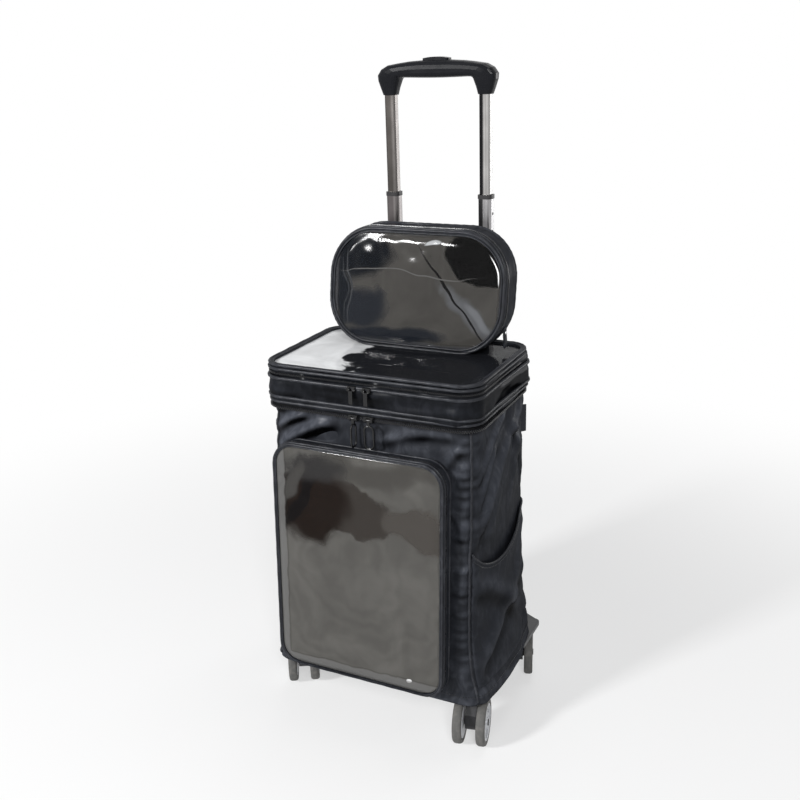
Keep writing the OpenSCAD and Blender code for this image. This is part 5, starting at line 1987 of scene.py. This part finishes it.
@dataclass
class Caster:
    """One twin-wheel caster's wheels: rubber tyres on spoked hubs."""

    name: str
    x: float
    y: float
    turn: float
    trail: float = 0.018
    pitch: float = 0.0285
    wheel: float = 0.058
    width: float = 0.012
    hub: float = 0.044
    arms: int = 6
    steps: int = 72

    def ring(self, name: str, profile: Profile, side: int) -> Piece:
        """Turns a closed profile round a wheel's axle.

        Args:
            name: Name of the piece.
            profile: Points as (radius, distance outward from the wheel's middle).
            side: -1 for the left wheel and 1 for the right one.

        Returns:
            The object.
        """
        angles = np.linspace(0, 2 * math.pi, self.steps, endpoint=False)
        rows = [np.column_stack([np.full(self.steps, side * (self.pitch / 2 + out)), radius * np.cos(angles),
                                 radius * np.sin(angles)]) for radius, out in profile]
        return piece(name, self.stand(np.array(rows)), grid_faces(len(profile), self.steps, True, True))

    def stand(self, points: np.ndarray) -> np.ndarray:
        """Moves points from the axle's middle, with X along the axle, to where the caster stands.

        Args:
            points: The points.

        Returns:
            The points in the shared frame.
        """
        a = math.radians(self.turn)
        x = points[..., 0] * math.cos(a) - (points[..., 1] - self.trail) * math.sin(a)
        y = points[..., 0] * math.sin(a) + (points[..., 1] - self.trail) * math.cos(a)
        return place_bag(np.stack([x + self.x, y + self.y, points[..., 2] + self.wheel / 2], axis=-1))

    def build(self) -> None:
        """Builds both wheels."""
        r, rim, w = self.wheel / 2, self.hub / 2, self.width / 2
        for letter, side in (("a", -1), ("b", 1)):
            node = f"wheel_{self.name}_{letter}"
            tread = curve_profile([(rim, -w + 0.0008), (r - 0.0016, -w + 0.0002), (r, -w + 0.003),
                                   (r, w - 0.003), (r - 0.0016, w - 0.0002), (rim, w - 0.0008)], 0.0016, 5)
            dress(self.ring(node + "_tyre", tread, side), Finish.TYRE, node, "wheel", node)
            felly = curve_profile([(rim - 0.0024, -w + 0.001), (rim + 0.0004, -w + 0.001),
                                   (rim + 0.0004, w - 0.0008), (rim - 0.0012, w - 0.0002),
                                   (rim - 0.0026, w - 0.0012)], 0.0005, 3)
            dish = curve_profile([(0.0027, -w + 0.0006), (rim - 0.002, -w + 0.0006),
                                  (rim - 0.002, -w + 0.0026), (0.0075, -w + 0.0036), (0.0062, w - 0.001),
                                  (0.0052, w - 0.0004), (0.0027, w - 0.0004)], 0.0008, 3)
            dress(self.ring(node + "_rim", felly, side), Finish.HUB, node, "wheel")
            dress(self.ring(node + "_dish", dish, side), Finish.HUB, node, "wheel")
            self.spokes(node, side)

    def spokes(self, node: str, side: int) -> None:
        """Tapered spokes from the boss to the rim.

        Args:
            node: Name of the wheel.
            side: -1 for the left wheel and 1 for the right one.
        """
        w = self.width / 2
        sections = ((0.0055, 0.0024, w - 0.0012), (0.013, 0.0018, w - 0.0026), (0.0205, 0.0026, w - 0.0016))
        rows, faces = [], []
        for k in range(self.arms):
            start = len(rows)
            a = 2 * math.pi * k / self.arms
            way = np.array([0.0, math.cos(a), math.sin(a)])
            across = np.array([0.0, -math.sin(a), math.cos(a)])
            for radius, wide, out in sections:
                for s, h in ((-1, -w + 0.002), (-0.8, out), (0.8, out), (1, -w + 0.002)):
                    aside = np.array([side * (self.pitch / 2 + h), 0, 0])
                    rows.append(way * radius + across * wide * s + aside)
            faces += [tuple(start + j for j in face) for face in capped_faces(len(sections), 4)]
        made = piece(node + "_spokes", self.stand(np.array(rows)), faces)
        made.data.shade_flat()
        dress(made, Finish.HUB, node, "wheel")


@dataclass
class HardParts:
    """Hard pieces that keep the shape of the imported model."""

    finishes: dict[Finish, tuple[tuple[str, ...], float]] = field(default_factory=lambda: {
        Finish.TRAY: (("base_tray",), 0.0008),
        Finish.FORK: (("caster_mounts", "fork_front_left", "fork_front_right", "fork_rear_left",
                       "fork_rear_right"), 0.0006),
        Finish.TUBE_LEFT: (("inner_tube_left",), 0.0),
        Finish.TUBE_RIGHT: (("inner_tube_right",), 0.0),
        Finish.STAGE_LEFT: (("outer_tube_left", "middle_tube_left"), 0.0),
        Finish.STAGE_RIGHT: (("outer_tube_right", "middle_tube_right"), 0.0),
        Finish.COLLAR: (("outer_collars", "middle_collars"), 0.0004),
        Finish.BLACK: (("tube_sockets", "middle_lock_plugs", "inner_lock_plugs", "grip_lower", "grip_cover",
                        "push_button"), 0.0004),
        Finish.STEEL: (("release_yoke",), 0.0),
        Finish.ENAMEL: (("main_slider_left", "main_slider_right", "lid_slider_left", "lid_slider_right",
                         "main_pull_left", "main_pull_right"), 0.0002),
    })

    def build(self) -> None:
        """Dresses the nodes."""
        for finish, (nodes, bevel) in self.finishes.items():
            for node in nodes:
                finish_node(node, finish, bevel)
        self.coil()

    def coil(self, turns: int = 5, radius: float = 0.0028, wire: float = 0.00035) -> None:
        """Coil spring under the push button, in the place of the imported spring.

        Args:
            turns: Number of turns.
            radius: Radius of the coil.
            wire: Radius of its wire.
        """
        low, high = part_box("button_spring")
        middle = (low + high) / 2
        share = np.linspace(0, 1, 28 * turns)
        angle = share * turns * 2 * math.pi
        out = np.column_stack([np.cos(angle), np.sin(angle), np.zeros(len(share))])
        path = np.column_stack([np.full(len(share), middle.x), np.full(len(share), middle.y),
                                low.z + wire + (high.z - low.z - 2 * wire) * share]) + radius * out
        around = np.arange(8) * math.pi / 4
        grid = path[:, None] + wire * (np.cos(around)[None, :, None] * out[:, None]
                                       + np.sin(around)[None, :, None] * np.array([0.0, 0.0, 1.0]))
        made = piece("button_coil", grid, capped_faces(len(path), len(around)))
        made.data.materials.append(Finish.STEEL.material())
        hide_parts("button_spring")
        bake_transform(made)


@dataclass
class Studio:
    """The camera, the floor, the lamps and the world."""

    eye: tuple[float, float, float] = (0.511, -1.0285, 0.7995)
    pitch: float = math.radians(19.3)
    turn: float = math.radians(26.4)
    roll: float = math.radians(-1.85)
    lens: float = 45.0
    lit: float = 0.12

    def camera(self) -> None:
        """Sets the camera where the photograph was taken."""
        level = math.cos(self.pitch)
        back = Vector((math.sin(self.turn) * level, -math.cos(self.turn) * level, math.sin(self.pitch)))
        right = Vector((math.cos(self.turn), math.sin(self.turn), 0.0))
        up = back.cross(right)
        across = right * math.cos(self.roll) + up * math.sin(self.roll)
        upward = up * math.cos(self.roll) - right * math.sin(self.roll)
        data = bpy.data.cameras.new("camera")
        data.lens = self.lens
        data.sensor_width = 36.0
        made = bpy.data.objects.new("camera", data)
        bpy.context.scene.collection.objects.link(made)
        turned = Matrix((across, upward, back)).transposed().to_4x4()
        made.matrix_world = Matrix.Translation((self.eye[0], self.eye[1] + BAG_Y, self.eye[2])) @ turned
        bpy.context.scene.camera = made

    def lamp(self, name: str, at: tuple[float, float, float], target: tuple[float, float, float], size: float,
             power: float) -> None:
        """Adds a soft lamp that points at a target.

        Args:
            name: Name of the lamp.
            at: Where it hangs.
            target: The point that it faces.
            size: Side of its square.
            power: Its power in watts.
        """
        data = bpy.data.lights.new(name, "AREA")
        data.size = size
        data.energy = power
        made = bpy.data.objects.new(name, data)
        bpy.context.scene.collection.objects.link(made)
        made.location = at
        made.rotation_euler = (Vector(target) - Vector(at)).to_track_quat("-Z", "Y").to_euler()

    def floor(self) -> None:
        """A wide white floor that keeps the shadow under the bag and fades to plain white away from it."""
        size = 40.0
        corners = np.array([[-size, -size, 0], [size, -size, 0], [size, size, 0], [-size, size, 0]])
        made = piece("studio_floor", corners, [(0, 1, 2, 3)])
        g = Graph("studio_floor")
        g.set(Base_Color=(0.88, 0.88, 0.88), Roughness=0.9, Specular_IOR_Level=0.1)
        away = g.add("VectorMath", {"operation": "LENGTH"}, Vector=g.coords).outputs["Value"]
        share = g.math("MULTIPLY", g.ramp(away, 0.3, 1.3, 0.5, 1.0), g.seen())
        white = g.add("Emission", Strength=1.0).outputs["Emission"]
        mixed = g.join(share, g.shader.outputs["BSDF"], white)
        g.put(g.tree.nodes["Material Output"].inputs["Surface"], mixed)
        made.data.materials.append(g.material)

    def world(self) -> None:
        """A plain pale world, at full strength where it is seen or mirrored."""
        world = bpy.data.worlds.new("studio")
        bpy.context.scene.world = world
        world.use_nodes = True
        world.node_tree.nodes.clear()
        n = Nodes(world.node_tree)
        lit = n.add("Background", Color=(0.94, 0.96, 1.0), Strength=self.lit).outputs["Background"]
        shown = n.add("Background", Color=(1.0, 1.0, 1.0), Strength=1.0).outputs["Background"]
        n.add("OutputWorld", Surface=n.join(n.seen(), lit, shown))

    def build(self) -> None:
        """Builds the studio."""
        self.camera()
        self.floor()
        self.world()
        self.lamp("key", (-1.4, -2.5, 1.5), (0, 0, 0.3), 0.4, 86.0)
        self.lamp("fill", (1.3, -2.2, 1.9), (0, 0, 0.35), 0.6, 44.0)
        self.lamp("rim", (1.6, 2.6, 0.5), (0, 0, 0.3), 0.9, 15.0)
        self.lamp("top", (0.1, 0.6, 2.6), (0, 0, 0.4), 1.2, 13.0)
        bpy.context.scene.view_settings.view_transform = "Standard"


def main() -> None:
    """Builds the whole scene in order."""
    logging.basicConfig(level=logging.INFO, format="%(name)s: %(message)s")
    Studio().build()
    HardParts().build()
    body = BagBody()
    body.build()
    TubeLoops().build()
    FrontPocket(body).build()
    Lid().build()
    Pouch().build()
    for name, x, y, turn in (("front_left", -0.122, -0.067, 210.0), ("front_right", 0.122, -0.067, 12.0),
                             ("rear_left", -0.122, 0.094, -8.0), ("rear_right", 0.122, 0.094, 18.0)):
        Caster(name, x, y, turn).build()


if __name__ == "__main__":
    main()
